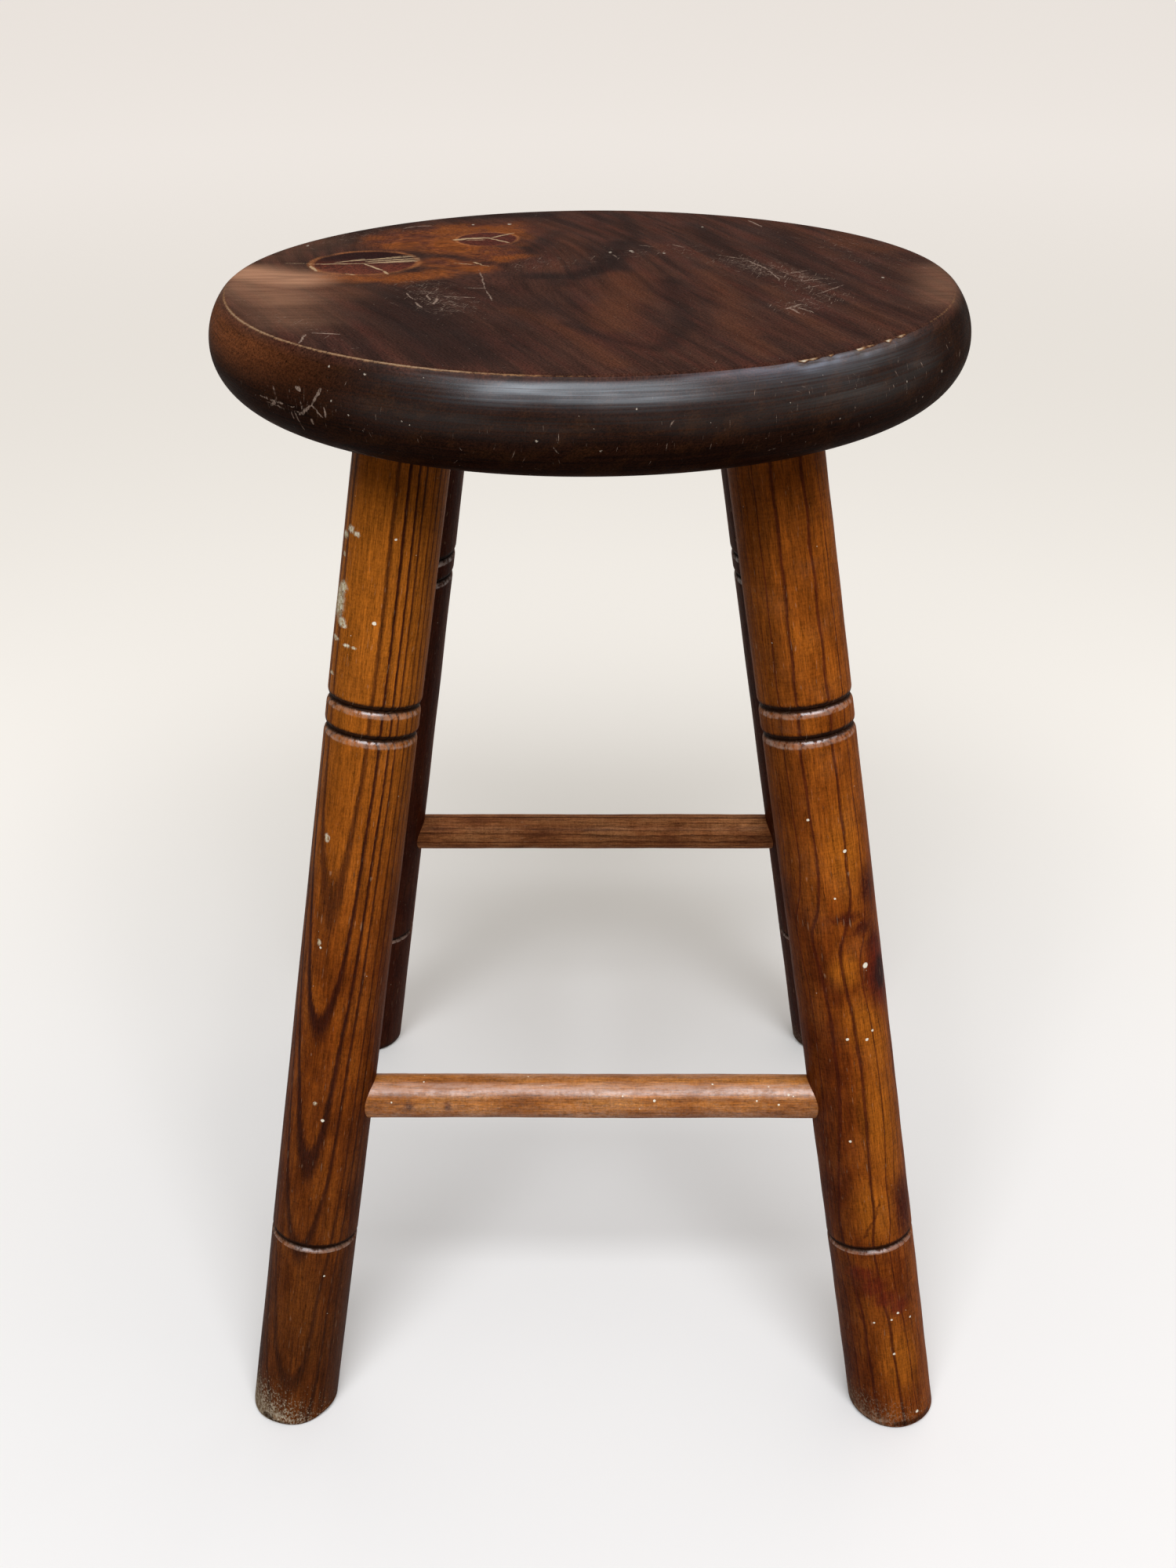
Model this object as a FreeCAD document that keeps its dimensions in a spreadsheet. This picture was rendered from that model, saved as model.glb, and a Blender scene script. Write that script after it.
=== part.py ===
import FreeCAD, Part
import os
from math import atan2

import Sketcher
from FreeCAD import Vector

# A round-seated joined stool: a turned seat on four splayed, turned legs, tied by four round stretchers.
# Z is up, the floor is at zero, and the seat's centre line is the Z axis. The front faces -Y.
# Every joint is a round tenon glued in a blind hole, so nothing moves.

# Driving dimensions in millimetres, in the order of the pieces that they belong to.
SIZES = (
    ("stool_height", 460.0),
    # Seat: the arris is the edge where the flat top meets the rounded side, the belly its widest line.
    ("seat_diameter", 291.0),
    ("seat_thickness", 36.0),
    ("seat_belly_depth", 17.1),
    ("arris_inset", 7.0),
    # Legs: the offsets go from the centre line to a leg's axis, along X and along Y alike.
    ("leg_diameter", 36.0),
    ("leg_top_offset", 65.8),
    ("leg_foot_offset", 132.3),
    ("leg_spare_length", 12.0),
    ("foot_chamfer", 1.2),
    # Turned bead between two grooves, measured along the leg's axis. The bead's corners and the leg's
    # shoulders slope down into the bottoms of the grooves.
    ("bead_from_seat", 111.5),
    ("bead_height", 11.5),
    ("bead_corner", 3.1),
    ("groove_depth", 1.7),
    ("groove_shoulder", 3.4),
    # Ring scored round the leg near its foot.
    ("score_from_floor", 90.0),
    ("score_width", 3.5),
    ("score_depth", 1.2),
    # Round tenon on a leg's top, in the seat's socket.
    ("tenon_diameter", 25.0),
    ("tenon_length", 24.0),
    ("tenon_root", 8.0),
    ("socket_clearance", 0.1),
    ("socket_end_gap", 1.0),
    # Stretchers, and the mortises that their ends are glued in.
    ("stretcher_diameter", 18.0),
    ("front_stretcher_height", 150.0),
    ("side_stretcher_height", 185.0),
    ("mortise_depth", 20.0),
    ("mortise_clearance", 0.1),
    ("mortise_end_gap", 1.0),
    # How far a cut runs past the wood that it takes away.
    ("cut_overrun", 10.0),
)

# Lengths that follow from the driving ones, written as expressions on the sheet.
UNDERSIDE = "(Sizes.stool_height - Sizes.seat_thickness)"
SPLAY = "(Sizes.leg_foot_offset - Sizes.leg_top_offset)"
LEG_LENGTH = f"sqrt(2 * {SPLAY} ^ 2 + {UNDERSIDE} ^ 2)"
LEG_LEAN = f"atan(sqrt(2) * {SPLAY} / {UNDERSIDE})"
LEG_RADIUS = "(Sizes.leg_diameter / 2)"
# Along a stretcher, from a leg's axis to the leg's surface: a little over the radius, as the leg leans.
LEG_ENTRY = f"({LEG_RADIUS} / sqrt(1 - ({SPLAY} / {LEG_LENGTH}) ^ 2))"


def leg_offset(height):
    """Expression for the distance along X, or Y, from the centre line to a leg's axis at a height."""
    return f"(Sizes.leg_foot_offset - {SPLAY} * {height} / {UNDERSIDE})"


def make_sheet(doc):
    """The driving dimensions as a sheet of plain numbers with aliases."""
    sheet = doc.addObject("Spreadsheet::Sheet", "Sizes")
    for row, (alias, value) in enumerate(SIZES, start=1):
        sheet.set(f"A{row}", alias)
        sheet.set(f"B{row}", str(value))
        sheet.setAlias(f"B{row}", alias)
    doc.recompute()


def make_body(doc, name, place=("0", "0", "0"), turn=0):
    """A piece of wood: its own origin stands at place and is turned about Z by whole degrees."""
    body = doc.addObject("PartDesign::Body", name)
    body.Label = name
    body.Placement = FreeCAD.Placement(Vector(), FreeCAD.Rotation(Vector(0, 0, 1), turn))
    for axis, expression in zip("xyz", place):
        body.setExpression(f"Placement.Base.{axis}", expression)
    return body


def make_sketch(body, name, plane, place=("0", "0", "0"), turn="0"):
    """A sketch in one of the body's origin planes, moved by place and turned in that plane by turn."""
    sketch = body.newObject("Sketcher::SketchObject", name)
    support = next(item for item in body.Origin.OriginFeatures if item.Role == plane)
    sketch.AttachmentSupport = (support, [""])
    sketch.MapMode = "FlatFace"
    for axis, expression in zip("xyz", place):
        sketch.setExpression(f"AttachmentOffset.Base.{axis}", expression)
    sketch.setExpression("AttachmentOffset.Rotation.Angle", turn)
    return sketch


def evaluate(item, expression):
    """The number that an expression gives on an object of the document."""
    value = item.evalExpression(expression)
    return float(getattr(value, "Value", value))


def arc_centre(start, end, direction):
    """Centre of the arc that leaves start along a direction and passes through end."""
    normal = Vector(-direction.y, direction.x, 0).normalize()
    chord = end.sub(start)
    return start.add(normal.multiply(chord.dot(chord) / (2 * chord.dot(normal))))


def draw_outline(sketch, corners):
    """Closed outline through corners of (x, y, edge), each fully dimensioned from the sketch's origin.

    edge says how the outline goes on to the next corner: "line", or "arc" for one that leaves smoothly
    from the edge before it.
    """
    points = [Vector(evaluate(sketch, x), evaluate(sketch, y), 0) for x, y, _ in corners]
    heading = points[0].sub(points[-1])
    ends = []
    for start, end, (_, _, edge) in zip(points, points[1:] + points[:1], corners):
        if edge == "line":
            number = sketch.addGeometry(Part.LineSegment(start, end), False)
            heading = end.sub(start)
            ends.append((number, 1, 2))
            continue
        centre = arc_centre(start, end, heading)
        spoke, last_spoke = start.sub(centre), end.sub(centre)
        left_turn = spoke.cross(last_spoke).z > 0
        first, second = (spoke, last_spoke) if left_turn else (last_spoke, spoke)
        circle = Part.Circle(centre, Vector(0, 0, 1), spoke.Length)
        arc = Part.ArcOfCircle(circle, atan2(first.y, first.x), atan2(second.y, second.x))
        number = sketch.addGeometry(arc, False)
        heading = Vector(-last_spoke.y, last_spoke.x, 0).multiply(1 if left_turn else -1)
        ends.append((number, 1, 2) if left_turn else (number, 2, 1))
    for index, (x, y, edge) in enumerate(corners):
        before, _, before_end = ends[index - 1]
        after, after_start, _ = ends[index]
        kind = "Tangent" if edge == "arc" else "Coincident"
        sketch.addConstraint(Sketcher.Constraint(kind, before, before_end, after, after_start))
        dimension_point(sketch, after, after_start, x, y)


def dimension_point(sketch, edge, end, x, y):
    """Hold one end of an edge at (x, y) from the sketch's origin, on an axis where that is zero."""
    for kind, axis, expression in (("DistanceX", -2, x), ("DistanceY", -1, y)):
        if expression == "0":
            sketch.addConstraint(Sketcher.Constraint("PointOnObject", edge, end, axis))
            continue
        value = evaluate(sketch, expression)
        number = sketch.addConstraint(Sketcher.Constraint(kind, -1, 1, edge, end, value))
        sketch.setExpression(f"Constraints[{number}]", expression)


def draw_circle(sketch, radius):
    """A circle about the sketch's origin."""
    circle = Part.Circle(Vector(), Vector(0, 0, 1), evaluate(sketch, radius))
    edge = sketch.addGeometry(circle, False)
    sketch.addConstraint(Sketcher.Constraint("Coincident", edge, 3, -1, 1))
    number = sketch.addConstraint(Sketcher.Constraint("Radius", edge, circle.Radius))
    sketch.setExpression(f"Constraints[{number}]", radius)


def turn_round(body, kind, name, sketch, axis):
    """Revolve a half outline about an axis of its sketch, to add wood or to bore it away."""
    feature = body.newObject(kind, name)
    feature.Profile = sketch
    feature.ReferenceAxis = (sketch, [axis])
    feature.Angle = 360
    return feature


def bore(body, name, sketch, axis):
    """Turn a hole's half outline, and make sure that it took wood away."""
    before = body.Tip.Shape.Volume
    feature = turn_round(body, "PartDesign::Groove", name, sketch, axis)
    body.Document.recompute()
    assert feature.Shape.Volume < before, name
    return feature


def saw_off(body, name, height, upwards):
    """Saw a leg level at a height, and take away all that is above it or below it."""
    before = body.Tip.Shape.Volume
    sketch = make_sketch(body, f"{name}_line", "XY_Plane", (f"sqrt(2) * {leg_offset(height)}", "0", height))
    draw_circle(sketch, "Sizes.leg_diameter + Sizes.cut_overrun")
    feature = body.newObject("PartDesign::Pocket", name)
    feature.Profile = sketch
    feature.Type = "ThroughAll"
    feature.Reversed = upwards
    body.Document.recompute()
    assert feature.Shape.Volume < before, name


def level_edges(shape, height):
    """Names of a shape's edges that lie level at a height."""
    near = shape.getTolerance(1)
    spans = [(edge.BoundBox.ZMin, edge.BoundBox.ZMax) for edge in shape.Edges]
    return [f"Edge{number}" for number, (low, high) in enumerate(spans, start=1)
            if abs(low - height) <= 2 * near and abs(high - height) <= 2 * near]


def make_seat(doc):
    """The seat: a turned board with a rounded side, and four sockets that lean as the legs do."""
    body = make_body(doc, "seat", ("0", "0", UNDERSIDE), 45)
    radius = "Sizes.seat_diameter / 2"
    lower_round = "(Sizes.seat_thickness - Sizes.seat_belly_depth)"
    profile = make_sketch(body, "seat_profile", "XZ_Plane")
    draw_outline(profile, (
        ("0", "0", "line"),
        (f"{radius} - {lower_round}", "0", "arc"),
        (radius, lower_round, "arc"),
        (f"{radius} - Sizes.arris_inset", "Sizes.seat_thickness", "line"),
        ("0", "Sizes.seat_thickness", "line"),
    ))
    turn_round(body, "PartDesign::Revolution", "seat_board", profile, "V_Axis")
    doc.recompute()

    socket_sketch = make_sketch(
        body, "socket_profile", "XZ_Plane", ("sqrt(2) * Sizes.leg_top_offset", "0", "0"), LEG_LEAN)
    wall = "Sizes.tenon_diameter / 2 + Sizes.socket_clearance"
    depth = "Sizes.tenon_length + Sizes.socket_end_gap"
    draw_outline(socket_sketch, (
        ("0", "-Sizes.cut_overrun", "line"),
        (wall, "-Sizes.cut_overrun", "line"),
        (wall, depth, "line"),
        ("0", depth, "line"),
    ))
    socket = bore(body, "socket", socket_sketch, "V_Axis")
    sockets = body.newObject("PartDesign::PolarPattern", "sockets")
    sockets.Originals = [socket]
    upright = next(item for item in body.Origin.OriginFeatures if item.Role == "Z_Axis")
    sockets.Axis = (upright, [""])
    sockets.Angle = 360
    sockets.Occurrences = 4
    body.Tip = sockets


def make_leg(doc, name, turn, side):
    """A leg that leans out along its body's own X axis, which turn brings to one of the four corners.

    side is 1 or -1, the side of that axis on which the front or back stretcher goes in. The other
    stretcher goes in on the other side, so that two of the legs are mirror images of the other two.
    """
    body = make_body(doc, name, turn=turn)
    foot = ("sqrt(2) * Sizes.leg_foot_offset", "0", "0")
    shoulder = ("sqrt(2) * Sizes.leg_top_offset", UNDERSIDE, "0")

    # Turned outline along the leg's axis, which starts where the axis meets the floor.
    bead = f"({LEG_LENGTH} - Sizes.bead_from_seat)"
    low_groove = f"{bead} - Sizes.bead_height / 2"
    high_groove = f"{bead} + Sizes.bead_height / 2"
    groove_radius = f"{LEG_RADIUS} - Sizes.groove_depth"
    top_end = f"{LEG_LENGTH} + Sizes.leg_spare_length"
    profile = make_sketch(body, f"{name}_profile", "XZ_Plane", foot, LEG_LEAN)
    draw_outline(profile, (
        ("0", "-Sizes.leg_spare_length", "line"),
        (LEG_RADIUS, "-Sizes.leg_spare_length", "line"),
        (LEG_RADIUS, "Sizes.score_from_floor - Sizes.score_width / 2", "line"),
        (f"{LEG_RADIUS} - Sizes.score_depth", "Sizes.score_from_floor", "line"),
        (LEG_RADIUS, "Sizes.score_from_floor + Sizes.score_width / 2", "line"),
        (LEG_RADIUS, f"{low_groove} - Sizes.groove_shoulder", "line"),
        (groove_radius, low_groove, "line"),
        (LEG_RADIUS, f"{low_groove} + Sizes.bead_corner", "line"),
        (LEG_RADIUS, f"{high_groove} - Sizes.bead_corner", "line"),
        (groove_radius, high_groove, "line"),
        (LEG_RADIUS, f"{high_groove} + Sizes.groove_shoulder", "line"),
        (LEG_RADIUS, top_end, "line"),
        ("0", top_end, "line"),
    ))
    turn_round(body, "PartDesign::Revolution", f"{name}_turning", profile, "V_Axis")
    doc.recompute()
    saw_off(body, f"{name}_shoulder", UNDERSIDE, True)
    saw_off(body, f"{name}_foot", "0", False)
    foot_cut = body.Tip

    # The edge round the sole, which stands flat on the floor, is eased.
    eased = body.newObject("PartDesign::Chamfer", f"{name}_sole_edge")
    eased.Base = (foot_cut, level_edges(foot_cut.Shape, 0))
    eased.setExpression("Size", "Sizes.foot_chamfer")
    doc.recompute()

    # Tenon in line with the leg, so that it leans in the seat's socket.
    tenon_radius = "Sizes.tenon_diameter / 2"
    tenon_sketch = make_sketch(body, f"{name}_tenon_profile", "XZ_Plane", shoulder, LEG_LEAN)
    draw_outline(tenon_sketch, (
        ("0", "-Sizes.tenon_root", "line"),
        (tenon_radius, "-Sizes.tenon_root", "line"),
        (tenon_radius, "Sizes.tenon_length", "line"),
        ("0", "Sizes.tenon_length", "line"),
    ))
    turn_round(body, "PartDesign::Revolution", f"{name}_tenon", tenon_sketch, "V_Axis")
    doc.recompute()

    # Level mortises. Each points at the middle of the neighbouring leg, 45 degrees off the way inwards.
    mortises = (
        ("long", "Sizes.front_stretcher_height", side * 135),
        ("side", "Sizes.side_stretcher_height", side * -135),
    )
    wall = "Sizes.stretcher_diameter / 2 + Sizes.mortise_clearance"
    bottom = f"{LEG_ENTRY} - Sizes.mortise_depth"
    mouth = f"{LEG_ENTRY} + Sizes.cut_overrun"
    for label, height, direction in mortises:
        centre = (f"sqrt(2) * {leg_offset(height)}", "0", height)
        sketch = make_sketch(body, f"{name}_{label}_mortise_profile", "XY_Plane", centre, str(direction))
        draw_outline(sketch, (
            (bottom, "0", "line"),
            (mouth, "0", "line"),
            (mouth, wall, "line"),
            (bottom, wall, "line"),
        ))
        bore(body, f"{name}_{label}_mortise", sketch, "H_Axis")


def make_stretcher(doc, name, height, place, turn):
    """A round stretcher along its body's own X axis, cut short of the bottoms of its two mortises."""
    body = make_body(doc, name, place, turn)
    half_length = f"({leg_offset(height)} - {LEG_ENTRY} + Sizes.mortise_depth - Sizes.mortise_end_gap)"
    radius = "Sizes.stretcher_diameter / 2"
    profile = make_sketch(body, f"{name}_profile", "XZ_Plane")
    draw_outline(profile, (
        (f"-{half_length}", "0", "line"),
        (half_length, "0", "line"),
        (half_length, radius, "line"),
        (f"-{half_length}", radius, "line"),
    ))
    turn_round(body, "PartDesign::Revolution", f"{name}_turning", profile, "H_Axis")


def make_stool():
    """All nine pieces, each a body of one document."""
    doc = FreeCAD.newDocument("Stool")
    make_sheet(doc)
    make_seat(doc)
    for name, turn, side in (
        ("leg_back_right", 45, 1),
        ("leg_back_left", 135, -1),
        ("leg_front_left", 225, 1),
        ("leg_front_right", 315, -1),
    ):
        make_leg(doc, name, turn, side)
    long_height = "Sizes.front_stretcher_height"
    side_height = "Sizes.side_stretcher_height"
    for name, height, place, turn in (
        ("stretcher_front", long_height, ("0", f"-{leg_offset(long_height)}", long_height), 0),
        ("stretcher_right", side_height, (leg_offset(side_height), "0", side_height), 90),
        ("stretcher_back", long_height, ("0", leg_offset(long_height), long_height), 180),
        ("stretcher_left", side_height, (f"-{leg_offset(side_height)}", "0", side_height), 270),
    ):
        make_stretcher(doc, name, height, place, turn)
    doc.recompute()
    return doc


def check_stool(doc):
    """Every object has to be up to date, every sketch fixed and every piece one valid solid."""
    for item in doc.Objects:
        assert not {"Invalid", "Error"} & set(item.State), (item.Name, item.State)
        if item.TypeId == "Sketcher::SketchObject":
            assert item.solve() == 0, item.Name
            assert item.FullyConstrained, item.Name
        if item.TypeId == "PartDesign::Body":
            assert not item.Shape.isNull() and item.Shape.isValid(), item.Name
            assert len(item.Shape.Solids) == 1, item.Name


def write_parts(doc):
    """One file for each piece, named as the piece is."""
    os.makedirs("parts", exist_ok=True)
    for item in doc.Objects:
        if item.TypeId == "PartDesign::Body":
            item.Shape.exportStep(f"parts/{item.Label}.step")
            print(f"{item.Label}: {item.Shape.Volume:.0f} mm3")


stool = make_stool()
check_stool(stool)
write_parts(stool)
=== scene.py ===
# %% [markdown]
# # A round-seated wooden stool
# A turned seat stands on four splayed legs, and four round stretchers tie the legs together. The frame
# holds each piece at its real size. This scene gives each of them the surface that the real one has:
# the worn edge, the turned bead, the scored ring, and above all the wood itself, which is stained pine
# under old varnish. Each cell makes one thing, and the note before it says why it is made that way.

import bpy
import numpy as np
from mathutils import Matrix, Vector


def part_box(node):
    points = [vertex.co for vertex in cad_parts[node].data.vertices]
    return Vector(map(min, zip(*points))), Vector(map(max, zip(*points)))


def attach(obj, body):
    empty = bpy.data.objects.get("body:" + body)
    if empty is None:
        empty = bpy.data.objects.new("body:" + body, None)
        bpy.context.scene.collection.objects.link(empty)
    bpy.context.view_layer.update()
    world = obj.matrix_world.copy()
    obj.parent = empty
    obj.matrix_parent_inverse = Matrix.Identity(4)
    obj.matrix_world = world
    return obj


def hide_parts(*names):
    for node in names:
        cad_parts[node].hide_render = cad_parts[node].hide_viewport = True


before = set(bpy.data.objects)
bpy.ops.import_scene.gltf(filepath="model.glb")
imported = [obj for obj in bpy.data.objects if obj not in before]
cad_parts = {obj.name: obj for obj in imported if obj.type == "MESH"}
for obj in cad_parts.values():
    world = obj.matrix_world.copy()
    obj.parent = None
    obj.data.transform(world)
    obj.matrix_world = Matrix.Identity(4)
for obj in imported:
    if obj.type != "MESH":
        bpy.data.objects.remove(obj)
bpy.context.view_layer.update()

seat_low, seat_high = (np.array(corner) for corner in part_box("seat"))
print("seat from", seat_low.round(4), "to", seat_high.round(4))

# %% [markdown]
# ## The camera
# The place and the angles of the camera come from the photograph: the outlines of the seat, the legs
# and the stretchers were measured there, and a camera was fitted until the same outlines fell on them.
# A camera's matrix is its three axes side by side. It looks along its own -Z, with its Y up.

# %% Camera
PICTURE_HEIGHT = 2000
FOCAL_PIXELS = 2183
CAMERA_PLACE = np.array((0.0077, -0.6700, 0.6055))
CAMERA_YAW = -0.0144
CAMERA_PITCH = 0.5016
CAMERA_ROLL = -0.0072


def camera_axes(yaw, pitch, roll):
    """Right, up and backward: yaw turns the view about Z, pitch lowers it, roll tips the horizon."""
    ahead = np.array((np.sin(yaw) * np.cos(pitch), np.cos(yaw) * np.cos(pitch), -np.sin(pitch)))
    level = np.array((np.cos(yaw), -np.sin(yaw), 0.0))
    upright = np.cross(level, ahead)
    right = np.cos(roll) * level + np.sin(roll) * upright
    up = np.cos(roll) * upright - np.sin(roll) * level
    return right, up, -ahead


camera = bpy.data.objects.new("camera", bpy.data.cameras.new("camera"))
bpy.context.scene.collection.objects.link(camera)
pose = np.eye(4)
pose[:3, :3] = np.column_stack(camera_axes(CAMERA_YAW, CAMERA_PITCH, CAMERA_ROLL))
pose[:3, 3] = CAMERA_PLACE
camera.matrix_world = Matrix(pose.tolist())
camera.data.lens = camera.data.sensor_width * FOCAL_PIXELS / PICTURE_HEIGHT
camera.data.clip_start = 0.01
camera.data.clip_end = 100
bpy.context.scene.camera = camera
bpy.context.scene.view_settings.view_transform = "Standard"
print("lens", round(camera.data.lens, 2), "mm")

# %% [markdown]
# ## Helpers for shader nodes
# A node tree is easier to read when each node is one call. These helpers add a node, feed its inputs
# with plain values or with other nodes' outputs, and hand back the output that the next node needs.
# Colours are written as they look on a screen, from 0 to 255, and turned into the linear values that
# Blender reckons with.

# %% Node helpers


def tone(red, green, blue):
    """Linear colour of a screen colour: the standard curve, linear below 0.04045 and a power above."""
    share = np.array((red, green, blue)) / 255
    linear = np.where(share <= 0.04045, share / 12.92, ((share + 0.055) / 1.055) ** 2.4)
    return (*linear.tolist(), 1.0)


def feed(tree, socket, value):
    """Set an input to a plain value, or link another node's output to it."""
    if isinstance(value, bpy.types.NodeSocket):
        tree.links.new(value, socket)
    else:
        socket.default_value = value


def add(tree, kind, inputs=None, output=0, **settings):
    """Add a node, set it up, feed its inputs and return one of its outputs."""
    item = tree.nodes.new(kind)
    for name, value in settings.items():
        setattr(item, name, value)
    for key, value in (inputs or {}).items():
        feed(tree, item.inputs[key], value)
    return item.outputs[output]


def math(tree, operation, *values):
    """One step of arithmetic on numbers."""
    return add(tree, "ShaderNodeMath", dict(enumerate(values)), operation=operation)


def times(tree, first, second):
    """The product of two numbers."""
    return math(tree, "MULTIPLY", first, second)


def vector(tree, operation, *values, output=0):
    """One step of arithmetic on vectors. A length or dot product is output Value."""
    return add(tree, "ShaderNodeVectorMath", dict(enumerate(values)), output, operation=operation)


def rise(tree, value, low, high, to_low=0.0, to_high=1.0):
    """A smooth step: to_low where value is below low, to_high where it is above high."""
    inputs = {"Value": value, "From Min": low, "From Max": high, "To Min": to_low, "To Max": to_high}
    return add(tree, "ShaderNodeMapRange", inputs, interpolation_type="SMOOTHSTEP")


def blend(tree, share, first, second, kind="MIX"):
    """Mix two colours. With share 0 the first stays, with share 1 the second has its full effect."""
    return add(tree, "ShaderNodeMix", {0: share, 6: first, 7: second}, 2, data_type="RGBA", blend_type=kind)


def stain(tree, colour, value, edges, strength, shade):
    """Lay a shade over a colour: not at all where value is at the first edge, by strength at the second."""
    return blend(tree, rise(tree, value, *edges, 0.0, strength), colour, shade)


def seen_from(tree, place, centre=(0, 0, 0), size=(1, 1, 1), turn=0.0):
    """A place as seen from centre, in units of size, on axes turned about Z: one node does all three.

    A renderer has room for few open values at a time, and a surface whose values don't fit comes out
    black. A node that keeps a place a place needs no conversion, so its value is used up at once.
    """
    inputs = {"Vector": place, "Location": centre, "Rotation": (0, 0, turn), "Scale": size}
    return add(tree, "ShaderNodeMapping", inputs, vector_type="TEXTURE")


def noise(tree, place, lump, detail=2.0, roughness=0.5, output="Fac", turn=0.0):
    """Smooth noise about 0.5. lump is the size of its lumps along X, Y and Z, in place's own unit."""
    inputs = {"Vector": seen_from(tree, place, size=lump, turn=turn), "Scale": 1.0, "Detail": detail,
              "Roughness": roughness}
    return add(tree, "ShaderNodeTexNoise", inputs, output)


def about_zero(tree, value, size):
    """Noise that ran from 0 to 1 about 0.5, moved to run from -size/2 to size/2 about 0."""
    return times(tree, math(tree, "SUBTRACT", value, 0.5), size)


def strongest(tree, masks):
    """The largest of several masks at each point."""
    total = masks[0]
    for mask in masks[1:]:
        total = math(tree, "MAXIMUM", total, mask)
    return total


def new_material(name):
    """A material that is made of nodes, with its tree and its shader."""
    material = bpy.data.materials.new(name)
    material.use_nodes = True
    return material, material.node_tree, material.node_tree.nodes["Principled BSDF"]


def new_group(name, inputs, outputs):
    """An empty node group with named sockets: its tree, its inputs by name and its output node."""
    tree = bpy.data.node_groups.new(name, "ShaderNodeTree")
    for label, kind, default in inputs:
        socket = tree.interface.new_socket(label, in_out="INPUT", socket_type="NodeSocket" + kind)
        if default is not None:
            socket.default_value = default
    for label, kind in outputs:
        tree.interface.new_socket(label, in_out="OUTPUT", socket_type="NodeSocket" + kind)
    entry = tree.nodes.new("NodeGroupInput")
    return tree, entry.outputs, tree.nodes.new("NodeGroupOutput").inputs


def use(tree, group, inputs):
    """Place a group in a tree, feed it and return its outputs by name."""
    item = tree.nodes.new("ShaderNodeGroup")
    item.node_tree = group
    for key, value in inputs.items():
        feed(tree, item.inputs[key], value)
    return item.outputs


# %% [markdown]
# ## The floor and the light
# The stool stands on a pale floor that runs on past the picture, so the floor is also the backdrop. It
# is a sweep of paper: near-white under the stool and a little warmer and darker far away. Part of its
# paleness is light of its own that only the camera and mirror-like rays see, and the paper throws less
# light back than its look promises. So it looks white without lighting the wood from below, and it still
# takes the stool's shadow.

# %% Floor
FLOOR_HALF_WIDTH = 20.0
RAMP_CENTRE = (0, -0.22, 0)
PAPER_DYE = (0.96, 0.88, 0.82, 1)
BOUNCE_DYE = (0.34, 0.31, 0.29, 1)
NEAR_GLOW = (0.00, 0.01, 0.01, 1)
MIDDLE_GLOW = (0.22, 0.21, 0.17, 1)
FAR_GLOW = (0.43, 0.41, 0.385, 1)
# The glow grows from near to middle and from middle to far between these distances from the centre.
NEAR_RING = (0.15, 0.95)
FAR_RING = (0.80, 4.0)

floor_mesh = bpy.data.meshes.new("floor")
signs = ((-1, -1), (1, -1), (1, 1), (-1, 1))
corners = [(x * FLOOR_HALF_WIDTH, y * FLOOR_HALF_WIDTH, 0) for x, y in signs]
floor_mesh.from_pydata(corners, [], [(0, 1, 2, 3)])
floor = bpy.data.objects.new("floor", floor_mesh)
bpy.context.scene.collection.objects.link(floor)

paper, tree, shader = new_material("pale paper")
place = add(tree, "ShaderNodeTexCoord", output="Object")
away = vector(tree, "DISTANCE", place, RAMP_CENTRE, output="Value")
glow = blend(tree, rise(tree, away, *NEAR_RING), NEAR_GLOW, MIDDLE_GLOW)
glow = blend(tree, rise(tree, away, *FAR_RING), glow, FAR_GLOW)
rays = tree.nodes.new("ShaderNodeLightPath").outputs
seen = strongest(tree, [rays["Is Camera Ray"], rays["Is Glossy Ray"], rays["Is Transmission Ray"]])
tree.links.new(blend(tree, seen, (0, 0, 0, 1), glow), shader.inputs["Emission Color"])
shader.inputs["Emission Strength"].default_value = 1.0
tree.links.new(blend(tree, seen, BOUNCE_DYE, PAPER_DYE), shader.inputs["Base Color"])
shader.inputs["Roughness"].default_value = 0.9
shader.inputs["Specular IOR Level"].default_value = 0.0
floor_mesh.materials.append(paper)
print("floor", 2 * FLOOR_HALF_WIDTH, "m wide")

# %% [markdown]
# ### The lamp and the world
# A large soft lamp hangs over the front of the seat. It makes the short soft shadow under the stool, and
# it is what the varnish mirrors along the seat's front edge. The world fills in from all round, brighter
# from above than from the sides, brighter from the right than from the left, and brightest from behind,
# where no lamp is. To the camera it looks as pale as the far paper, and so it does near the horizon to
# mirror-like rays. High at the right there is the pale blue of a window, which only the varnish mirrors.

# %% Lamps and world
OVERHEAD_PLACE = (0.02, -1.30, 1.80)
OVERHEAD_TARGET = (0, 0, 0.35)
OVERHEAD_SIZE = (1.80, 0.85)
OVERHEAD_POWER = 46
OVERHEAD_COLOUR = (0.82, 0.90, 0.99)
SEEN_SKY = (0.80, 0.77, 0.72, 1)
WINDOW_WAY = (0.54, -0.02, 0.84)
WINDOW_COLOUR = (2.2, 2.5, 3.1, 1)
# Ramps over a direction's own Z, X or Y, or over its distance from the window's: from, to, and what each
# end of the ramp gives.
SKY_ABOVE = (0.05, 0.75, 0.11, 0.36)
SKY_RIGHT = (-0.7, 0.7, 0.40, 1.60)
SKY_BEHIND = (0.1, 0.9, 0.0, 0.42)
HORIZON = (0.02, 0.14, 1.0, 0.0)
WINDOW_EDGE = (0.15, 0.50, 1.0, 0.0)


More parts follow.
